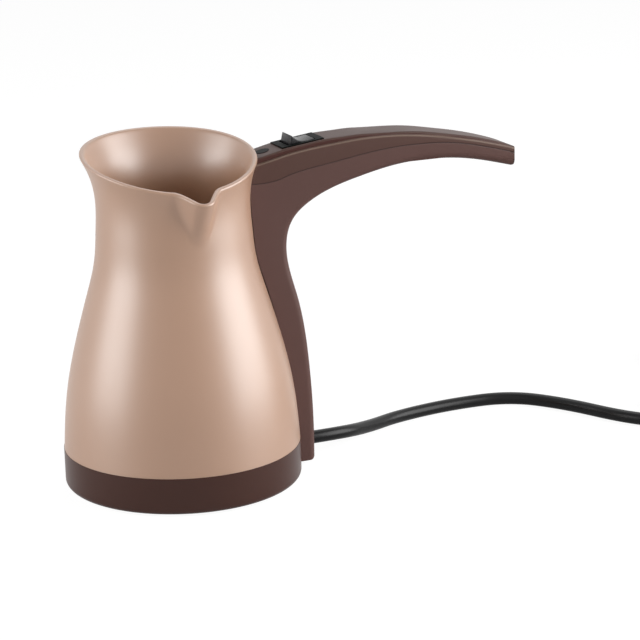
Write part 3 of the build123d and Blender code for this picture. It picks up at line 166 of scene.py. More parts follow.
class Graph:
    """The node tree of one material or world."""

    def __init__(self, owner: Union[bpy.types.Material, bpy.types.World]) -> None:
        """Starts with an empty tree.

        Args:
            owner: the material or world that the tree belongs to.
        """
        owner.use_nodes = True
        self.owner = owner
        self.tree = owner.node_tree
        self.tree.nodes.clear()

    def add(self, kind: str, settings: dict, links: dict, output: Union[int, str] = 0) -> Socket:
        """Adds one node.

        Args:
            kind: the node's type.
            settings: its properties; "bends" gives a float curve's points.
            links: values or sockets by input index or name.
            output: which output is returned.

        Returns:
            The chosen output, wrapped.
        """
        return Socket(self, self._node(kind, settings, links).outputs[output])

    def _node(self, kind: str, settings: dict, links: dict) -> bpy.types.Node:
        """Makes a node, sets its properties and then fills its sockets.

        Args:
            kind: the node's type.
            settings: its properties; "bends" gives a float curve's points.
            links: values or sockets by input index or name.

        Returns:
            The node.
        """
        node = self.tree.nodes.new(kind)
        for name, value in settings.items():
            if name == "bends":
                points = node.mapping.curves[0].points
                while len(points) < len(value):
                    points.new(0.5, 0.5)
                for point, spot in zip(points, value):
                    point.location = spot
                node.mapping.update()
            else:
                setattr(node, name, value)
        for name, value in links.items():
            if isinstance(value, Socket):
                self.tree.links.new(value.socket, node.inputs[name])
            else:
                node.inputs[name].default_value = value
        return node

    def place(self) -> Socket:
        """Returns the Object coordinates, in metres."""
        return self.add("ShaderNodeTexCoord", {}, {}, "Object")

    def ray(self, kind: str) -> Socket:
        """Returns 1 for light rays of one kind, such as Camera or Glossy, and 0 for the others."""
        return self.add("ShaderNodeLightPath", {}, {}, f"Is {kind} Ray")

    def drawn(self, along: Socket, points: Line) -> Socket:
        """Returns the height of a line through points, over a coordinate.

        Args:
            along: the coordinate, in metres.
            points: place along and height of each point, in millimetres.

        Returns:
            The line's height in metres.
        """
        start, low, tall = points[0][0], CURVE_LOW, CURVE_TALL
        reach = points[-1][0] - start
        bends = [((a - start) / reach, (b - low) / tall) for a, b in points]
        share = ((along - start * MM) / (reach * MM)).clamped()
        curve = self.add("ShaderNodeFloatCurve", {"bends": bends}, {"Value": share})
        return (curve * tall + low) * MM

    def noise(self, scale: float, detail: float, rough: float) -> Socket:
        """Adds a noise over the Object coordinates.

        Args:
            scale: features per metre.
            detail: octaves.
            rough: how strong the fine octaves are.

        Returns:
            The noise, between 0 and 1.
        """
        links = {"Vector": self.place(), "Scale": scale, "Detail": detail, "Roughness": rough}
        return self.add("ShaderNodeTexNoise", {}, links)

    def blend(self, factor: Socket, first: Union[Socket, Colour], second: Union[Socket, Colour]) -> Socket:
        """Mixes two colours.

        Args:
            factor: share of the second colour.
            first: colour at 0.
            second: colour at 1.

        Returns:
            The mixed colour.
        """
        links = {MIX_FACTOR: factor, MIX_FIRST: first, MIX_SECOND: second}
        for index in (MIX_FIRST, MIX_SECOND):
            if not isinstance(links[index], Socket):
                links[index] = (*links[index], 1)
        return self.add("ShaderNodeMix", {"data_type": "RGBA"}, links, MIX_COLOUR)

    def bump(self, height: Socket, strength: float, distance: float) -> Socket:
        """Returns a normal bumped by a height in steps of distance metres."""
        links = {"Strength": strength, "Distance": distance, "Height": height}
        return self.add("ShaderNodeBump", {}, links)

    def surface(self, **inputs: Union[Socket, float, Colour]) -> bpy.types.Material:
        """Ends the tree with a Principled shader.

        Args:
            inputs: values or sockets by input name, with underscores for spaces.

        Returns:
            The finished material.
        """
        links = {}
        for name, value in inputs.items():
            flat = isinstance(value, tuple) and len(value) == 3
            links[name.replace("_", " ")] = (*value, 1) if flat else value
        self.show(self.add("ShaderNodeBsdfPrincipled", {}, links))
        return self.owner

    def show(self, shader: Socket) -> None:
        """Links a shader to the output of the material or world."""
        kind = "World" if isinstance(self.owner, bpy.types.World) else "Material"
        self._node(f"ShaderNodeOutput{kind}", {}, {"Surface": shader})


# ----------------------------------------------------------------------- finishes
@dataclass(frozen=True)
class MouldedPlastic:
    """Moulded plastic: one colour with faint mottling and a fine moulded grain."""

    name: str
    colour: Colour
    roughness: float = 0.35
    mottling: float = 0.04
    grain: float = 0.00001
    coat: float = 0.0
    coat_roughness: float = 0.2
    coat_index: float = 1.5
    sheen_level: float = 0.5
    relief: float = 0.25  # strength of the grain's bump
    smoother: float = 0.05  # how far the roughness falls where nothing adds to it
    cloud_rough: float = 0.07  # what the clouding adds to the roughness
    wear_rough: float = 0.05  # what the wear adds to it

    def make(self) -> bpy.types.Material:
        """Makes the material.

        Returns:
            The material.
        """
        graph = Graph(bpy.data.materials.new(self.name))
        cloud, fine = graph.noise(*CLOUD), graph.noise(*PLASTIC_GRAIN)
        wear = graph.noise(*WEAR)
        light = tuple(min(1.0, c * (1 + self.mottling)) for c in self.colour)
        dark = tuple(c * (1 - self.mottling) for c in self.colour)
        colour = graph.blend(cloud, dark, light)
        rough = (self.roughness - self.smoother) + self.cloud_rough * cloud + self.wear_rough * wear
        normal = graph.bump(fine, self.relief, self.grain)
        return graph.surface(
            Base_Color=colour, Roughness=rough, Normal=normal, Specular_IOR_Level=self.sheen_level,
            Coat_Weight=self.coat, Coat_Roughness=self.coat_roughness, Coat_IOR=self.coat_index,
        )


@dataclass(frozen=True)
class HandlePlastic:
    """The handle's brown plastic, darker along the shells' parting, with painted shade in the step beside
    the top and along the arm's rounded underside, and a painted highlight along the shell's upper edge.
    """

    name: str
    top: Colour
    # painted shade in the step beside the top
    step: Colour
    # painted highlight: a light line along the shell's rounded upper edge
    edge: Colour
    upper: Colour
    seam: Colour
    lower: Colour
    # painted shade along the arm's rounded underside edge
    rim: Colour
    roughness: float = 0.42
    sheen_level: float = 0.2
    seam_width: float = 0.45 * MM
    seam_share: float = 0.85  # how much of the seam's colour shows, as for the edge's painted highlight and the rim's painted shade
    edge_highlight_width: float = 0.6 * MM
    edge_highlight_share: float = 0.6
    edge_drop: float = 0.4 * MM  # from the shell's upper edge down to the painted highlight line
    # width, strength, start and fade of the painted shade along the arm's underside
    underside_shade_width: float = 2.2 * MM
    underside_shade_share: float = 0.8
    underside_shade_start: float = 62 * MM
    underside_shade_fade: float = 10 * MM
    step_shade_rise: float = 0.1 * MM  # from the shell's upper edge up to the step's painted shade
    top_drop: float = 0.75 * MM  # from the top's line down to where its colour starts
    top_soft: float = 0.3 * MM
    soft: float = 0.2 * MM
    clouding: float = 0.12
    relief: float = 0.5
    grain_share: float = 0.2  # height of the grain as a share of the seam's depth
    smoother: float = 0.04
    cloud_rough: float = 0.08
    top_line: Line = (
        (30, 147.6), (44, 150.5), (61.5, 153.5), (83, 155.3), (107, 154.8), (132, 151.7),
        (144, 149.4), (157, 146.1), (170, 141.5),
    )
    edge_line: Line = (
        (30, 145.4), (43.5, 148), (55.3, 150.5), (76, 152.9), (94, 154), (119, 152.6),
        (144, 148.1), (157, 144.9), (170, 141.2),
    )
    parting_line: Line = (
        (30, 138.2), (45, 138.2), (55, 140.9), (76, 144.3), (100, 147.6), (118, 148.3),
        (137, 147), (156, 142.8), (170, 138.8),
    )
    under_line: Line = (
        (54.7, 118.3), (64.9, 127.1), (89.3, 135.5), (107, 139), (126.2, 140), (147, 137.8), (166.5, 133),
    )

    def make(self) -> bpy.types.Material:
        """Makes the material.

        Returns:
            The material.
        """
        graph = Graph(bpy.data.materials.new(self.name))
        along = graph.add("ShaderNodeSeparateXYZ", {}, {"Vector": graph.place()}, "X")
        height = graph.add("ShaderNodeSeparateXYZ", {}, {"Vector": graph.place()}, "Z")
        parting, edge = graph.drawn(along, self.parting_line), graph.drawn(along, self.edge_line)
        seam, cloud = height.near(parting, self.seam_width), graph.noise(*CLOUD)
        colour = self._colour(graph, along, height, parting, edge, seam)
        colour = graph.blend(cloud * self.clouding, colour, self.upper)
        rough = (self.roughness - self.smoother) + self.cloud_rough * cloud
        normal = graph.bump(graph.noise(*PLASTIC_GRAIN) * self.grain_share - seam, self.relief, self.soft)
        return graph.surface(
            Base_Color=colour, Roughness=rough, Normal=normal, Specular_IOR_Level=self.sheen_level,
        )

    def _colour(
        self, graph: Graph, along: Socket, height: Socket, parting: Socket, edge: Socket, seam: Socket,
    ) -> Socket:
        """Mixes the colours from the arm's underside to its top.

        Args:
            graph: the material's graph.
            along: place along the handle.
            height: height over the table.
            parting: height of the shells' parting.
            edge: height of the shell's upper edge.
            seam: 1 on the parting, 0 away from it.

        Returns:
            The mixed colour.
        """
        top, under = graph.drawn(along, self.top_line), graph.drawn(along, self.under_line)
        # painted shade along the arm's rounded underside, fading in along the arm
        rim = height.near(under, self.underside_shade_width) * self.underside_shade_share * along.over(self.underside_shade_start, self.underside_shade_fade)
        # painted highlight: a light line just under the shell's upper edge
        light = height.near(edge - self.edge_drop, self.edge_highlight_width) * self.edge_highlight_share
        colour = graph.blend(height.over(parting, self.soft), self.lower, self.upper)
        colour = graph.blend(rim, colour, self.rim)
        colour = graph.blend(seam * self.seam_share, colour, self.seam)
        colour = graph.blend(light, colour, self.edge)
        # painted shade in the step beside the top
        colour = graph.blend(height.over(edge + self.step_shade_rise, self.soft), colour, self.step)
        return graph.blend(height.over(top - self.top_drop, self.top_soft), colour, self.top)


@dataclass(frozen=True)
class BareMetal:
    """Bare metal with a fine satin grain and faint stains."""

    name: str
    colour: Colour
    roughness: float = 0.3
    scale: float = 900.0  # the grain's features per metre
    dark_share: float = 0.86
    stain_share: float = 0.7  # how much the stains, and how much the grain, lighten the metal
    grain_share: float = 0.3
    smoother: float = 0.06
    grain_rough: float = 0.12
    relief: float = 0.15
    grain: float = 0.00002

    def make(self) -> bpy.types.Material:
        """Makes the material.

        Returns:
            The material.
        """
        graph = Graph(bpy.data.materials.new(self.name))
        fine, stain = graph.noise(self.scale, 3, 0.6), graph.noise(*STAIN)
        dark = tuple(c * self.dark_share for c in self.colour)
        light = (stain * self.stain_share + fine * self.grain_share).clamped()
        colour = graph.blend(light, dark, self.colour)
        rough = (self.roughness - self.smoother) + self.grain_rough * fine
        normal = graph.bump(fine, self.relief, self.grain)
        return graph.surface(Base_Color=colour, Metallic=1.0, Roughness=rough, Normal=normal)


@dataclass(frozen=True)
class SoftPolymer:
    """Rubber, silicone or cable sheath."""

    name: str
    colour: Colour
    roughness: float = 0.55
    sheen_level: float = 0.4
    dustiness: float = 0.6
    dust_light: float = 1.25  # how much lighter the dust makes the colour
    dust_grey: float = 0.002  # what it adds even to black
    smoother: float = 0.05
    dust_rough: float = 0.12
    relief: float = 0.3
    grain: float = 0.00002

    def make(self) -> bpy.types.Material:
        """Makes the material.

        Returns:
            The material.
        """
        graph = Graph(bpy.data.materials.new(self.name))
        fine, dust = graph.noise(*SHEATH_GRAIN), graph.noise(*DUST)
        light = tuple(c * self.dust_light + self.dust_grey for c in self.colour)
        colour = graph.blend((dust * self.dustiness).clamped(), self.colour, light)
        rough = (self.roughness - self.smoother) + self.dust_rough * dust
        normal = graph.bump(fine, self.relief, self.grain)
        return graph.surface(
            Base_Color=colour, Roughness=rough, Normal=normal, Specular_IOR_Level=self.sheen_level,
        )


@dataclass(frozen=True)
class LensPlastic:
    """A lens's smooth plastic or glass, faintly clouded."""

    name: str
    colour: Colour
    roughness: float = 0.08
    sheen_level: float = 0.5
    cloud_light: float = 1.4  # how much lighter the clouds are
    cloud_rough: float = 0.04

    def make(self) -> bpy.types.Material:
        """Makes the material.

        Returns:
            The material.
        """
        graph = Graph(bpy.data.materials.new(self.name))
        cloud = graph.noise(*LENS_CLOUD)
        colour = graph.blend(cloud, self.colour, tuple(c * self.cloud_light for c in self.colour))
        rough = self.roughness + self.cloud_rough * cloud
        return graph.surface(Base_Color=colour, Roughness=rough, Specular_IOR_Level=self.sheen_level)


class Finish(Enum):
    """The named finishes of the pot's pieces."""

    BEIGE = MouldedPlastic(
        "beige_gloss", linear(173, 132, 104), 0.4, 0.02, coat=1.0, coat_roughness=0.4, coat_index=1.75,
        sheen_level=0.7,
    )
    BROWN = MouldedPlastic("dark_brown_gloss", linear(64, 34, 25), 0.3, 0.04, coat=0.15, sheen_level=0.25)
    # the handle's step and rim colours are painted shade, its edge colour a painted highlight
    HANDLE = HandlePlastic(
        "handle_brown_satin", top=linear(80, 58, 52), step=linear(66, 32, 25), edge=linear(150, 130, 116),
        upper=linear(82, 57, 50), seam=linear(40, 24, 21), lower=linear(92, 66, 61), rim=linear(72, 38, 30),
    )
    BLACK = MouldedPlastic("switch_black", linear(22, 20, 23), 0.25, 0.03, sheen_level=0.35)
    FRAME = MouldedPlastic("frame_black", linear(14, 16, 15), 0.5, 0.03, sheen_level=0.05)
    BAKELITE = MouldedPlastic("moulded_bakelite", linear(58, 44, 38), 0.5, 0.1)
    STEEL = BareMetal("plate_steel", linear(196, 194, 190), 0.3)
    ZINC = BareMetal("zinc_screws", linear(190, 190, 192), 0.32)
    ALUMINIUM = BareMetal("cast_aluminium", linear(186, 187, 190), 0.45, scale=400.0)
    BRASS = BareMetal("bare_brass", linear(205, 170, 98), 0.28)
    RUBBER = SoftPolymer("foot_rubber", linear(38, 36, 36), 0.6)
    SILICONE = SoftPolymer("silicone_seal", linear(196, 188, 180), 0.5)
    CORD = SoftPolymer("cord_sheath", linear(9, 9, 10), 0.3, sheen_level=0.25)
    BROWN_WIRE = SoftPolymer("wire_sheath_brown", linear(96, 60, 36), 0.4)
    BLUE_WIRE = SoftPolymer("wire_sheath_blue", linear(40, 90, 170), 0.4)
    EARTH_WIRE = SoftPolymer("wire_sheath_earth", linear(120, 160, 50), 0.4)
    LENS = LensPlastic("dark_lens", linear(6, 5, 5), 0.35, 0.03)
    LAMP = LensPlastic("clear_lamp", linear(220, 205, 190))

    def material(self) -> bpy.types.Material:
        """Returns this finish's material, made once."""
        found = bpy.data.materials.get(self.value.name)
        return found if found else self.value.make()


# ---------------------------------------------------------------------- modelling
def clear_selection() -> None:
    """Leaves edit mode and deselects everything."""
    if bpy.context.object and bpy.context.object.mode != "OBJECT":
        bpy.ops.object.mode_set(mode="OBJECT")
    bpy.ops.object.select_all(action="DESELECT")


def take(obj: bpy.types.Object) -> None:
    """Makes an object the only selected and active one.

    Args:
        obj: the object.
    """
    clear_selection()
    obj.select_set(True)
    bpy.context.view_layer.objects.active = obj


def finish_piece(obj: bpy.types.Object, name: str, finish: Finish, angle: float) -> bpy.types.Object:
    """Applies modifiers and place, smooths and dresses a piece.

    Args:
        obj: the modelled object.
        name: its final name.
        finish: its finish.
        angle: edges sharper than this, in degrees, stay sharp.

    Returns:
        The same object.
    """
    take(obj)
    for modifier in list(obj.modifiers):
        bpy.ops.object.modifier_apply(modifier=modifier.name)
    bpy.ops.object.transform_apply(location=True, rotation=True, scale=True)
    bpy.ops.object.shade_smooth_by_angle(angle=math.radians(angle))
    obj.name = name
    obj.data.materials.clear()
    obj.data.materials.append(finish.material())
    return obj


def smooth_copy(frame: dict, node: str, name: str, finish: Finish) -> bpy.types.Object:
    """Merges a copy of a CAD node into one smooth piece.

    Args:
        node: the CAD node.
        name: the new piece's name.
        finish: its finish.

    Returns:
        The new piece, which replaces the node and rides on the pot.
    """
    mesh = frame["nodes"][node].data.copy()
    piece = bpy.data.objects.new(name, mesh)
    bpy.context.scene.collection.objects.link(piece)
    take(piece)
    if mesh.has_custom_normals:
        bpy.ops.mesh.customdata_custom_splitnormals_clear()
    bpy.ops.object.mode_set(mode="EDIT")
    bpy.ops.mesh.select_all(action="SELECT")
    bpy.ops.mesh.remove_doubles(threshold=MERGE_REACH)
    bpy.ops.object.mode_set(mode="OBJECT")
    finish_piece(piece, name, finish, angle=30)
    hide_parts(node)
    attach(piece, "pot")
    return piece


def bevel_sharp(piece: bpy.types.Object, width: float, segments: int, angle: float) -> None:
    """Adds a bevel to a piece's sharp edges.

    Args:
        piece: the piece.
        width: the bevel's width in millimetres.
        segments: how many faces it has.
        angle: edges sharper than this, in degrees, are bevelled.
    """
    edge = piece.modifiers.new("edge", "BEVEL")
    edge.width, edge.segments = width * MM, segments
    edge.limit_method, edge.angle_limit = "ANGLE", math.radians(angle)


# --------------------------------------------------------------------- the studio
@dataclass(frozen=True)
class Softbox:
    """An oblong soft lamp; its lengths are in metres."""

    name: str
    place: Point
    aim: Point
    size: tuple[float, float]
    watts: float

    def build(self) -> None:
        """Hangs the lamp, facing its aim."""
        data = bpy.data.lights.new(self.name, "AREA")
        data.shape = "RECTANGLE"
        data.size, data.size_y = self.size
        data.energy = self.watts
        lamp = bpy.data.objects.new(self.name, data)
        bpy.context.scene.collection.objects.link(lamp)
        lamp.location = self.place
        lamp.rotation_euler = (Vector(self.aim) - Vector(self.place)).to_track_quat("-Z", "Y").to_euler()


@dataclass
class Studio:
    """Camera, floor, world and lamps; lengths are in metres."""

    position: Point = (-0.33970, -0.98655, 0.36631)  # the camera's place, and below it the camera's axes
    right: Point = (0.92053, -0.38998, -0.02319)
    down: Point = (-0.12588, -0.23989, -0.96260)
    forward: Point = (0.36983, 0.88903, -0.26992)
    lens: float = 132.44  # focal length for the sensor's width, both in millimetres
    sensor: float = 36.0
    clip: tuple[float, float] = (0.05, 50.0)
    floor_size: float = 12.0
    floor_height: float = -0.0002
    floor_grey: float = 0.86
    floor_glow: float = 1.15
    floor_share: float = 0.82  # how much of what the camera sees of the floor is glow
    mirrored_share: float = 0.4  # the same in a reflection, as a share of that
    fill: float = 0.12
    lamps: tuple[Softbox, ...] = (
        Softbox("left_softbox", (-1.22, 0.10, 0.45), (0, 0, 0.09), (0.95, 1.1), 13.5),
        Softbox("right_softbox", (1.06, -0.62, 0.45), (0, 0, 0.09), (1.1, 1.2), 21.0),
        Softbox("top_softbox", (0.45, 0.75, 1.35), (0.05, 0, 0.12), (0.5, 0.5), 1.5),
    )

    def build(self) -> None:
        """Makes the camera, the floor, the lamps and the world."""
        self._camera()
        self._floor()
        self._world()
        for lamp in self.lamps:
            lamp.build()
        bpy.context.scene.view_settings.view_transform = "Standard"

    def _camera(self) -> None:
        """Places the camera by its axes."""
        data = bpy.data.cameras.new("camera")
        data.sensor_width, data.lens = self.sensor, self.lens
        data.clip_start, data.clip_end = self.clip
        camera = bpy.data.objects.new("camera", data)
        bpy.context.scene.collection.objects.link(camera)
        right, up, back = Vector(self.right), -Vector(self.down), -Vector(self.forward)
        turn = Matrix((right, up, back)).transposed()
        camera.matrix_world = Matrix.Translation(self.position) @ turn.to_4x4()
        bpy.context.scene.camera = camera

    def _floor(self) -> None:
        """Makes the pale floor, which keeps the object's shadow."""
        clear_selection()
        bpy.ops.mesh.primitive_plane_add(size=self.floor_size, location=(0, 0, self.floor_height))
        floor = bpy.context.object
        floor.name = "floor"
        graph = Graph(bpy.data.materials.new("floor_white"))
        mirrored = graph.ray("Glossy") * self.mirrored_share
        seen = (graph.ray("Camera") + mirrored).clamped() * self.floor_share
        grey = self.floor_grey
        matte = graph.add("ShaderNodeBsdfDiffuse", {}, {"Color": (grey, grey, grey, 1)})
        white = graph.add("ShaderNodeEmission", {}, {"Color": WHITE, "Strength": self.floor_glow})
        graph.show(graph.add("ShaderNodeMixShader", {}, {0: seen, 1: matte, 2: white}))
        floor.data.materials.append(graph.owner)

    def _world(self) -> None:
        """Makes a world that is white where it is seen and only a soft fill where it lights."""
        world = bpy.data.worlds.new("studio")
        bpy.context.scene.world = world
        graph = Graph(world)
        seen = (graph.ray("Camera") + graph.ray("Glossy")).clamped()
        fill = graph.add("ShaderNodeBackground", {}, {"Color": WHITE, "Strength": self.fill})
        white = graph.add("ShaderNodeBackground", {}, {"Color": WHITE, "Strength": 1.0})
        graph.show(graph.add("ShaderNodeMixShader", {}, {0: seen, 1: fill, 2: white}))


# ----------------------------------------------------------------------- the cord
@dataclass
class CordSet:
    """The mains cord with its put-away coil; its points are in millimetres and its turns in degrees."""

    frame: dict
    diameter: float = 6.2 * MM
    centre: tuple[float, float] = (282.0, -31.0)  # the coil's middle
    outer: float = 37.2  # radius of the first turn
    inner: float = 31.0  # radius of the second turn, inside the first
    top_radius: float = 34.1  # radius of the last stretch, which lies on both
    low: float = 3.1  # height of the turns on the table
    top: float = 9.4  # height of the last stretch
    start: float = -140.0  # direction in which the coil starts
    travel: float = 860.0  # how far it turns in all
    step: float = 24.0  # about how far it turns from point to point
    step_in: tuple[float, float] = (300.0, 360.0)  # where it passes to the second turn
    step_up: tuple[float, float] = (590.0, 660.0)  # where it climbs onto the two
    rounding: float = 0.989  # the spline's mean radius as a share of its points' radius
    smoothness: int = 10  # pieces of the drawn line from point to point
    roundness: int = 8  # how finely the round section is drawn
    measures: int = 8  # straight parts that stand for one arc of the spline in its length
    route: list[Point] = field(default_factory=lambda: [
        (63.9, 0, 9.5), (80.0, 0, 9.5), (101.0, 15.0, 4.9), (124.0, 29.0, 3.1), (157.0, 34.4, 3.1),
        (188.0, 32.0, 3.1), (207.0, 9.0, 3.1), (222.5, -24.0, 3.1), (240.0, -42.0, 3.1),
    ])
    tail: list[Point] = field(default_factory=lambda: [
        (316.1, -31.0, 9.0), (316.1, -24.5, 9.8), (316.1, -14.0, 13.0), (316.1, -2.0, 17.2),
    ])

    def build(self) -> None:
        points = self.route + self._coil() + self.tail
        data = bpy.data.curves.new("cord", "CURVE")
        data.dimensions = "3D"
        spline = data.splines.new("NURBS")
        spline.points.add(len(points) - 1)
        for target, (x, y, z) in zip(spline.points, points):
            target.co = (x * MM, y * MM, z * MM, 1)
        spline.order_u = 3
        spline.use_endpoint_u = True
        spline.resolution_u = self.smoothness
        data.bevel_depth = self.diameter / 2
        data.bevel_resolution = self.roundness
        data.use_fill_caps = True
        data.materials.append(Finish.CORD.material())
        cord = bpy.data.objects.new("mains_cord", data)
        bpy.context.scene.collection.objects.link(cord)
        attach(cord, "pot")
        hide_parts("power_cord", "cord_coil", "cord_tail")
        self.length(points)
        LOG.info("cord of %.0f mm on %d points", self.length(points) / MM, len(points))

    def _coil(self) -> list[Point]:
        """Works out the control points of the coil's turns.

        Returns:
            The points, in millimetres.
        """
        points = []
        count = int(self.travel / self.step)
        for index in range(1, count):
            turned = index * self.travel / count
            radius, height = self._turn(turned)
            angle = math.radians(self.start + turned)
            x = self.centre[0] + radius / self.rounding * math.cos(angle)
            y = self.centre[1] + radius / self.rounding * math.sin(angle)
            points.append((x, y, height))
        return points

    def _turn(self, turned: float) -> tuple[float, float]:
        """Works out where the coil runs.

        Args:
            turned: how far the coil has turned by then.

        Returns:
            Its radius and its height there.
        """
        (in_start, in_end), (up_start, up_end) = self.step_in, self.step_up
        if turned < in_start:
            return self.outer, self.low
        if turned < in_end:
            share = (turned - in_start) / (in_end - in_start)
            return self.outer + (self.inner - self.outer) * share, self.low
        if turned < up_start:
            return self.inner, self.low
        share = min((turned - up_start) / (up_end - up_start), 1.0)
        radius = self.inner + (self.top_radius - self.inner) * share
        return radius, self.low + (self.top - self.low) * share

    def length(self, points: Sequence[Point]) -> float:
        """Measures the quadratic spline that a row of control points gives.

        Args:
            points: the control points, in millimetres.

        Returns:
            The spline's length in metres.
        """
        total, last = 0.0, Vector(points[0])
        for index in range(1, len(points) - 1):
            before, here, after = (Vector(points[index + shift]) for shift in (-1, 0, 1))
            start = before if index == 1 else (before + here) / 2
            end = after if index == len(points) - 2 else (here + after) / 2
            for part in range(1, self.measures + 1):
                share = part / self.measures
                spot = start.lerp(here, share).lerp(here.lerp(end, share), share)
                total += (spot - last).length
                last = spot
        return total * MM


# -------------------------------------------------------------------------- curves
class Curve:
    """Smooth line through points: a natural cubic spline of one value over another."""

    def __init__(self, points: Line) -> None:
        """Works out the spline's second derivatives at its points.

        Args:
            points: place and value of each point, in the order of their places.
        """
        self.at = [p[0] for p in points]
        self.value = [p[1] for p in points]
        count = len(points)
        bend, share = [0.0] * count, [0.0] * count
        for i in range(1, count - 1):
            before, after = self.at[i] - self.at[i - 1], self.at[i + 1] - self.at[i]
            rise_before = (self.value[i] - self.value[i - 1]) / before
            rise_after = (self.value[i + 1] - self.value[i]) / after
            weight = before / (before + after)
            divisor = weight * share[i - 1] + 2
            share[i] = (weight - 1) / divisor
            change = rise_after - rise_before
            bend[i] = (6 * change / (before + after) - weight * bend[i - 1]) / divisor
        for i in range(count - 2, 0, -1):
            bend[i] += share[i] * bend[i + 1]
        self.bend = bend

    def __call__(self, place: float) -> float:
        """Reads the line at a place; past its ends it goes on straight.

        Args:
            place: the place.

        Returns:
            The value there.
        """
        last = len(self.at) - 1
        i = next((k for k in range(1, last) if self.at[k] > place), last)
        low, high = self.at[i - 1], self.at[i]
        width = high - low
        held = min(max(place, self.at[0]), self.at[-1])
        a, b = (high - held) / width, (held - low) / width
        curved = ((a**3 - a) * self.bend[i - 1] + (b**3 - b) * self.bend[i]) * width**2 / 6
        slope = (self.value[i] - self.value[i - 1]) / width
        return a * self.value[i - 1] + b * self.value[i] + curved + slope * (place - held)


def blended_most(first: float, second: float, reach: float) -> float:
    """Returns the larger of two values, blended where they are closer than reach."""
    near = max(reach - abs(first - second), 0.0) / reach
    return max(first, second) + near * near * reach / 4


def lathe(name: str, profile: Line, count: int) -> bpy.types.Object:
    """Models a turned piece: a circle extruded from ring to ring.

    Args:
        name: the new object's name.
        profile: radius and height of each ring, in millimetres.
        count: points round each ring.

    Returns:
        The open piece, ring after ring in the order of its vertices.
    """
    clear_selection()
    radius, height = profile[0]
    bpy.ops.mesh.primitive_circle_add(vertices=count, radius=radius * MM, location=(0, 0, height * MM))
    piece = bpy.context.object
    piece.name = name
    bpy.ops.object.transform_apply(location=True, rotation=True, scale=True)
    bpy.ops.object.mode_set(mode="EDIT")
    bpy.ops.mesh.select_all(action="SELECT")
    for radius_next, height_next in profile[1:]:
        rise, grow = (height_next - height) * MM, radius_next / radius
        bpy.ops.mesh.extrude_region_move(TRANSFORM_OT_translate={"value": (0, 0, rise)})
        bpy.ops.transform.resize(value=(grow, grow, 1), center_override=(0, 0, height_next * MM))
        radius, height = radius_next, height_next
    bpy.ops.object.mode_set(mode="OBJECT")
    return piece


def close_ends(piece: bpy.types.Object, count: int, joined: bool) -> None:
    """Closes a turned piece.

    Args:
        piece: the piece as lathe() leaves it.
        count: points round each ring.
        joined: bridges the last ring to the first, or else fills both.
    """
    take(piece)
    total = len(piece.data.vertices)
    first, last = list(range(count)), list(range(total - count, total))
    for rings in ([first + last] if joined else [first, last]):
        bpy.ops.object.mode_set(mode="EDIT")
        bpy.ops.mesh.select_mode(type="VERT")
        bpy.ops.mesh.select_all(action="DESELECT")
        bpy.ops.object.mode_set(mode="OBJECT")
        for index in rings:
            piece.data.vertices[index].select = True
        bpy.ops.object.mode_set(mode="EDIT")
        bpy.ops.mesh.select_mode(type="EDGE")
        if joined:
            bpy.ops.mesh.bridge_edge_loops()
        else:
            bpy.ops.mesh.edge_face_add()
        bpy.ops.object.mode_set(mode="OBJECT")
    bpy.ops.object.mode_set(mode="EDIT")
    bpy.ops.mesh.select_all(action="SELECT")
    bpy.ops.mesh.normals_make_consistent(inside=False)
    bpy.ops.object.mode_set(mode="OBJECT")


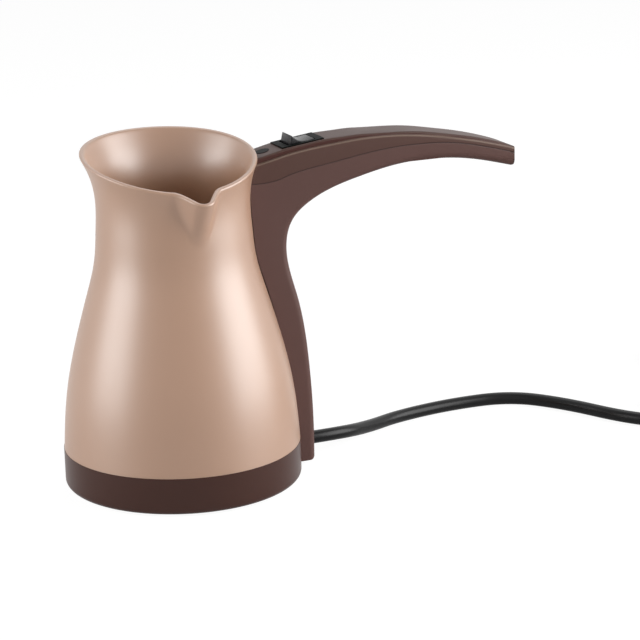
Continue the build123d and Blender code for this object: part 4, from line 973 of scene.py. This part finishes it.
# ---------------------------------------------------------------------------- pot
@dataclass
class Pot:
    """The beige pot with its slanted rim and pouring spout, in millimetres and degrees."""

    columns: int = 320  # points round each ring
    side_rings: int = 30
    top_rings: int = 22
    wall: float = 2.4
    foot: float = 18.0  # height at which the outer wall starts
    free: float = 112.0  # height above which rim and spout change the round wall
    flange: tuple[float, float] = (23.0, 26.0)  # heights of the inner flange
    flange_bore: float = 41.0
    flange_root: float = 51.3
    flange_gap: float = 1.0  # from the flange up to the inner wall's first ring, at least
    skirt: tuple[float, float] = (50.1, 52.5)  # inner and outer radius of the skirt in the base
    skirt_low: float = 14.0
    nose_at: tuple[float, float] = (45.0, 138.9)  # reach and height of the spout's tip
    nose_slope: float = 0.55  # how far the spout comes out for each millimetre up
    nose_radius: float = 5.6
    nose_zone: float = 0.6  # the spout lies beyond this share of the radius
    side_angle: float = 30.0  # from the spout's middle plane to its flat sides
    crease: float = 3.0  # reach of the blend between wall and spout
    settling: int = 6  # rounds in which a point's height and outline settle
    rim_rounding: float = 0.95
    outer: Curve = field(default_factory=lambda: Curve([
        (18.0, 54.8), (30.0, 53.95), (45.0, 52.2), (75.0, 45.3), (90.0, 40.95), (105.0, 37.0),
        (119.0, 35.6), (133.0, 35.1), (147.0, 37.9), (158.5, 43.6), (165.5, 47.0),
    ]))
    rim: Curve = field(default_factory=lambda: Curve([
        (-60.0, 133.0), (-45.0, 138.9), (-35.0, 143.0), (0.0, 152.3), (42.6, 158.5), (60.0, 160.0),
    ]))

    def build(self) -> bpy.types.Object:
        """Models the pot.

        Returns:
            The pot.
        """
        side_step = (self.free - self.foot) / self.side_rings
        top_step = (self.rim(0) - self.free) / self.top_rings
        heights = [self.foot + side_step * i for i in range(self.side_rings + 1)]
        heights += [self.free + top_step * i for i in range(1, self.top_rings + 1)]
        (low, high), (within, around) = self.flange, self.skirt
        outside = [(self.outer(z), z) for z in heights]
        inside = [(self.outer(z) - self.wall, z) for z in reversed(heights) if z > high + self.flange_gap]
        below = [(self.flange_root, high), (self.flange_bore, high), (self.flange_bore, low), (within, low)]
        below += [(within, self.skirt_low), (around, self.skirt_low), (around, self.foot)]
        piece = lathe("pot", outside + inside + below, self.columns)
        self._shape(piece, len(outside))
        close_ends(piece, self.columns, True)
        self._round_rim(piece, len(outside))
        finish_piece(piece, "pot", Finish.BEIGE, angle=50)
        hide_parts("pot_body")
        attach(piece, "pot")
        return piece

    def _shape(self, piece: bpy.types.Object, rings: int) -> None:
        """Slants the rim and draws the spout out of the neck, ring by ring.

        Args:
            piece: the pot as lathe() leaves it.
            rings: how many rings its outer wall has.
        """
        flat_rim = self.rim(0)
        for index, vertex in enumerate(piece.data.vertices):
            ring = index // self.columns
            height = vertex.co.z / MM
            if height <= self.free or ring >= 2 * rings:
                continue
            share = (height - self.free) / (flat_rim - self.free)
            angle = math.atan2(vertex.co.y, vertex.co.x)
            inset = 0.0 if ring < rings else self.wall
            x, y, z = vertex.co.x / MM, vertex.co.y / MM, height
            for _ in range(self.settling):
                z = self.free + share * (self.rim(y) - self.free)
                x, y = self._outline(angle, z, inset)
            vertex.co = (x * MM, y * MM, z * MM)

    def _outline(self, angle: float, z: float, inset: float) -> tuple[float, float]:
        """Works out where the wall is, with the spout.

        Args:
            angle: direction from the pot's axis, in radians.
            z: the height.
            inset: how far the surface lies inside the outer wall.

        Returns:
            The place's x and y.
        """
        radius = self.outer(z) - inset
        x, y = radius * math.cos(angle), radius * math.sin(angle)
        if y > -self.nose_zone * radius:
            return x, y
        nose, (tip, tip_height) = self.nose_radius - inset, self.nose_at
        reach = tip + self.nose_slope * (z - tip_height) - inset
        lean = math.radians(self.side_angle)
        edge = nose * math.cos(lean)
        if abs(x) < edge:
            drop = nose - math.sqrt(nose * nose - x * x)
        else:
            drop = nose * (1 - math.sin(lean)) + (abs(x) - edge) / math.tan(lean)
        return x, -blended_most(-y, reach - drop, self.crease)

    def _round_rim(self, piece: bpy.types.Object, rings: int) -> None:
        """Rounds the two edges of the rim.

        Args:
            piece: the closed pot.
            rings: how many rings its outer wall has.
        """
        take(piece)
        bpy.ops.object.mode_set(mode="EDIT")
        bpy.ops.mesh.select_mode(type="EDGE")
        bpy.ops.mesh.select_all(action="DESELECT")
        bpy.ops.object.mode_set(mode="OBJECT")
        low, middle, high = (rings - 1) * self.columns, rings * self.columns, (rings + 1) * self.columns
        for edge in piece.data.edges:
            first, second = sorted(edge.vertices)
            edge.select = (low <= first and second < middle) or (middle <= first and second < high)
        bpy.ops.object.mode_set(mode="EDIT")
        bpy.ops.mesh.bevel(offset=self.rim_rounding * MM, segments=5, profile=0.5, clamp_overlap=True)
        bpy.ops.object.mode_set(mode="OBJECT")


# ------------------------------------------------------------------------- handle
@dataclass
class Handle:
    """The handle's two shells, whose arm ends in a full and blunt tip, in millimetres."""

    frame: dict
    tip: float = 168.4  # where the arm ends
    lift: float = 2.2  # how far its top rises towards the tip
    lift_start: float = 135.0
    upper: Curve = field(default_factory=lambda: Curve([
        (120, 153.8), (132, 151.7), (144, 149.2), (157, 145.1), (171, 139),
    ]))
    under: Curve = field(default_factory=lambda: Curve([
        (107, 139), (126.2, 140), (147, 137.8), (166.5, 133), (180, 129.6),
    ]))
    shells: tuple[str, ...] = ("handle_upper_shell", "handle_lower_shell")

    def build(self) -> list[bpy.types.Object]:
        """Makes both shells and returns them."""
        return [self._shell(node) for node in self.shells]

    def _shell(self, node: str) -> bpy.types.Object:
        """Makes one shell from its node, its end filled out and pressed flat.

        Args:
            node: the shell's CAD node.

        Returns:
            The shell.
        """
        piece = smooth_copy(self.frame, node, node.replace("_shell", ""), Finish.HANDLE)
        for vertex in piece.data.vertices:
            x, z = min(vertex.co.x / MM, self.tip), vertex.co.z / MM
            if x > self.lift_start:
                under = self.under(x)
                share = min(max((z - under) / (self.upper(x) - under), 0.0), 1.0)
                step = (x - self.lift_start) / (self.tip - self.lift_start)
                vertex.co = (x * MM, vertex.co.y, (z + share * self.lift * step**2) * MM)
        return piece


# ------------------------------------------------------------------- rocker switch
@dataclass
class Tilted:
    """A place on the handle's top: x along it, z out of it."""

    centre: Point
    lean: float

    def turn(self) -> Matrix:
        """Returns the place's matrix, in metres."""
        shift = Matrix.Translation(Vector(self.centre) * MM)
        return shift @ Matrix.Rotation(math.radians(self.lean), 4, "Y")


def set_down(piece: bpy.types.Object, place: Matrix) -> None:
    """Moves a piece that was modelled at the origin to its place, in its mesh.

    Args:
        piece: the piece.
        place: its place's matrix, in metres.
    """
    take(piece)
    piece.matrix_world = place
    bpy.ops.object.transform_apply(location=True, rotation=True, scale=True)


def box(name: str, low: Point, high: Point) -> bpy.types.Object:
    """Adds a cube between two corners, its size in its mesh.

    Args:
        name: the new object's name.
        low: its lowest corner, in millimetres.
        high: its highest corner.

    Returns:
        The cube.
    """
    clear_selection()
    middle = [(a + b) / 2 * MM for a, b in zip(low, high)]
    size = [(b - a) * MM for a, b in zip(low, high)]
    bpy.ops.mesh.primitive_cube_add(size=1, location=middle, scale=size)
    piece = bpy.context.object
    piece.name = name
    bpy.ops.object.transform_apply(location=True, rotation=True, scale=True)
    return piece


@dataclass
class RockerSwitch:
    """The rocker switch: its housing with a thin frame, and its dished rocker, in millimetres."""

    place: Tilted = field(default_factory=lambda: Tilted((61.5, 0, 153.5), -7.3))
    plate: tuple[float, float, float] = (21.0, 15.0, 0.6)  # length, width and thickness of the frame
    plate_rim: float = 0.8  # the flat border round the frame's top
    plate_edge: float = 0.2  # rounding of the frame's edges
    body: tuple[float, float, float] = (18.8, 12.8, -12.0)  # length, width and lowest point of the housing
    opening: tuple[float, float] = (6.9, 5.9)  # half the length and width of the rocker's opening
    well: float = 9.0  # depth of the opening
    peak: tuple[float, float] = (5.7, 3.6)  # distance and height of the rocker's high end
    low_peak: float = 2.2  # height of its low end
    side: tuple[float, float] = (6.35, -0.9)  # distance and height at which its ends stand out most
    half_width: float = 5.6
    rocker_edge: float = 0.35  # rounding of the rocker's edges
    dish: float = 1.0  # height of the dish's middle
    foot: float = -3.4  # lowest point of the rocker
    pivot: float = -1.5  # height of its axis
    rest_tilt: float = 12.0  # how far it leans at rest, in degrees
    steps: int = 14

    def build(self) -> list[bpy.types.Object]:
        """Models frame and rocker and returns them."""
        return [self._frame(), self._rocker()]

    def _frame(self) -> bpy.types.Object:
        """Models the frame: a plate whose top is inset and pushed down into a well, on the housing.

        Returns:
            The frame with its housing.
        """
        length, width, height = self.plate
        plate = box("switch_frame", (-length / 2, -width / 2, 0), (length / 2, width / 2, height))
        take(plate)
        bpy.ops.object.mode_set(mode="EDIT")
        bpy.ops.mesh.select_mode(type="FACE")
        self._pick_flat(plate, height, 1)
        bpy.ops.mesh.inset(thickness=self.plate_rim * MM)
        flat = (length - 2 * self.plate_rim, width - 2 * self.plate_rim)
        grow = (2 * self.opening[0] / flat[0], 2 * self.opening[1] / flat[1], 1)
        bpy.ops.mesh.extrude_region_move(TRANSFORM_OT_translate={"value": (0, 0, 0)})
        bpy.ops.transform.resize(value=grow, center_override=(0, 0, height * MM))
        bpy.ops.mesh.extrude_region_move(TRANSFORM_OT_translate={"value": (0, 0, -self.well * MM)})
        self._pick_flat(plate, 0.0, -1)
        bpy.ops.mesh.extrude_region_move(TRANSFORM_OT_translate={"value": (0, 0, 0)})
        grow = (self.body[0] / length, self.body[1] / width, 1)
        bpy.ops.transform.resize(value=grow, center_override=(0, 0, 0))
        bpy.ops.mesh.extrude_region_move(TRANSFORM_OT_translate={"value": (0, 0, self.body[2] * MM)})
        bpy.ops.object.mode_set(mode="OBJECT")
        bevel_sharp(plate, self.plate_edge, segments=3, angle=50)
        set_down(plate, self.place.turn())
        finish_piece(plate, "switch_frame", Finish.FRAME, angle=40)
        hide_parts("switch_housing")
        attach(plate, "pot")
        return plate

    @staticmethod
    def _pick_flat(piece: bpy.types.Object, height: float, facing: int) -> None:
        """Selects the faces that lie at a height and face up or down, in edit mode.

        Args:
            piece: the piece.
            height: the height, in millimetres.
            facing: 1 for faces that look up, -1 for those that look down.
        """
        bpy.ops.mesh.select_all(action="DESELECT")
        bpy.ops.object.mode_set(mode="OBJECT")
        for face in piece.data.polygons:
            near = abs(face.center.z / MM - height) < PICK_REACH
            face.select = near and face.normal.z * facing > 0.9
        bpy.ops.object.mode_set(mode="EDIT")

    def _rocker(self) -> bpy.types.Object:
        """Models the rocker: a block cut across, its top drawn down into a dish.

        Returns:
            The rocker.
        """
        (px, pz), (sx, sz) = self.peak, self.side
        block = box("switch_rocker", (-px, -self.half_width, self.foot), (px, self.half_width, pz))
        take(block)
        bpy.ops.object.mode_set(mode="EDIT")
        for step in range(1, self.steps):
            bpy.ops.mesh.select_all(action="SELECT")
            cut = -px + 2 * px * step / self.steps
            bpy.ops.mesh.bisect(plane_co=(cut * MM, 0, 0), plane_no=(1, 0, 0))
        for step in range(1, self.steps + 1):
            place = -px + 2 * px * step / self.steps
            rise = (pz if place < 0 else self.low_peak) - self.dish
            fall = pz - self.dish - rise * (place / px) ** 2
            self._pick_line(block, place, pz)
            bpy.ops.transform.translate(value=(0, 0, -fall * MM))
        bpy.ops.mesh.select_all(action="SELECT")
        bpy.ops.mesh.bisect(plane_co=(0, 0, sz * MM), plane_no=(0, 0, 1))
        for end in (-1, 1):
            self._pick_line(block, end * px, sz)
            bpy.ops.transform.translate(value=(end * (sx - px) * MM, 0, 0))
        bpy.ops.object.mode_set(mode="OBJECT")
        bevel_sharp(block, self.rocker_edge, segments=3, angle=40)
        lean = Matrix.Rotation(math.radians(self.rest_tilt), 4, "Y")
        pin = Matrix.Translation((0, 0, self.pivot * MM))
        set_down(block, self.place.turn() @ pin @ lean @ pin.inverted())
        finish_piece(block, "rocker", Finish.BLACK, angle=35)
        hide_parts("switch_rocker")
        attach(block, "rocker")
        return block

    @staticmethod
    def _pick_line(piece: bpy.types.Object, x: float, z: float) -> None:
        """Selects the points at one x and z, in edit mode.

        Args:
            piece: the piece.
            x: their x, in millimetres.
            z: their height, in millimetres.
        """
        bpy.ops.mesh.select_mode(type="VERT")
        bpy.ops.mesh.select_all(action="DESELECT")
        bpy.ops.object.mode_set(mode="OBJECT")
        for vertex in piece.data.vertices:
            across, up = abs(vertex.co.x / MM - x), abs(vertex.co.z / MM - z)
            vertex.select = across < PICK_REACH and up < PICK_REACH
        bpy.ops.object.mode_set(mode="EDIT")


@dataclass
class PilotLens:
    """The dark round lens of the pilot light in the handle's top; its profile is radius and height."""

    place: Tilted = field(default_factory=lambda: Tilted((44.0, 0, 150.5), -12.0))
    profile: Line = ((3.6, -3.2), (3.6, -2.25), (2.97, -2.24), (2.97, 0.02), (3.35, 0.05), (3.3, 0.2))
    columns: int = 96

    def build(self) -> bpy.types.Object:
        """Models the lens.

        Returns:
            The lens.
        """
        piece = lathe("pilot_lens", self.profile, self.columns)
        close_ends(piece, self.columns, False)
        set_down(piece, self.place.turn())
        finish_piece(piece, "pilot_lens", Finish.LENS, angle=40)
        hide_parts("indicator_lens")
        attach(piece, "pot")
        return piece


# ---------------------------------------------------------------------- the nodes
@dataclass
class Carried:
    """The CAD nodes that stay as they are and only get their finish."""

    frame: dict
    finishes: dict[Finish, tuple[str, ...]] = field(default_factory=lambda: {
        Finish.ZINC: (
            "arm_screws", "column_screws", "base_screws", "clamp_nuts", "bracket_nuts", "clamp_screws",
        ),
        Finish.STEEL: (
            "heating_plate", "clamp_ring", "element_pins", "thermostat_bracket", "switch_plunger",
            "plunger_spring", "plug_earth_contacts",
        ),
        Finish.ALUMINIUM: ("spreader_plate", "heating_element", "thermal_fuse"),
        Finish.BRASS: ("earth_tab", "contact_lever", "switch_terminals", "spade_connectors", "plug_pins"),
        Finish.RUBBER: ("foot_ring", "cord_grommet"),
        Finish.SILICONE: ("plate_seal", "lamp_sleeve"),
        Finish.BAKELITE: ("thermostat",),
        Finish.LAMP: ("neon_lamp",),
        Finish.BROWN_WIRE: ("live_wire", "switched_wire", "link_wire"),
        Finish.BLUE_WIRE: ("neutral_wire",),
        Finish.EARTH_WIRE: ("earth_wire",),
        Finish.CORD: ("cord_inner",),
        Finish.BROWN: ("cord_clamp", "base_cup"),
        Finish.BLACK: ("coil_tie", "plug_body"),
    })

    def build(self) -> None:
        """Assigns each node its finish."""
        for finish, names in self.finishes.items():
            for name in names:
                node = self.frame["nodes"][name]
                node.data.materials.clear()
                node.data.materials.append(finish.material())
        LOG.info("%d nodes dressed", sum(len(names) for names in self.finishes.values()))


def main() -> None:
    """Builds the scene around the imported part."""
    logging.basicConfig(level=logging.INFO, format="%(message)s")
    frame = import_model()
    clear_selection()
    Studio().build()
    CordSet(frame).build()
    LOG.info("pot of %d faces", len(Pot().build().data.polygons))
    for piece in Handle(frame).build() + RockerSwitch().build() + [PilotLens().build()]:
        LOG.info("%s of %d faces", piece.name, len(piece.data.polygons))
    Carried(frame).build()


if __name__ == "__main__":
    main()
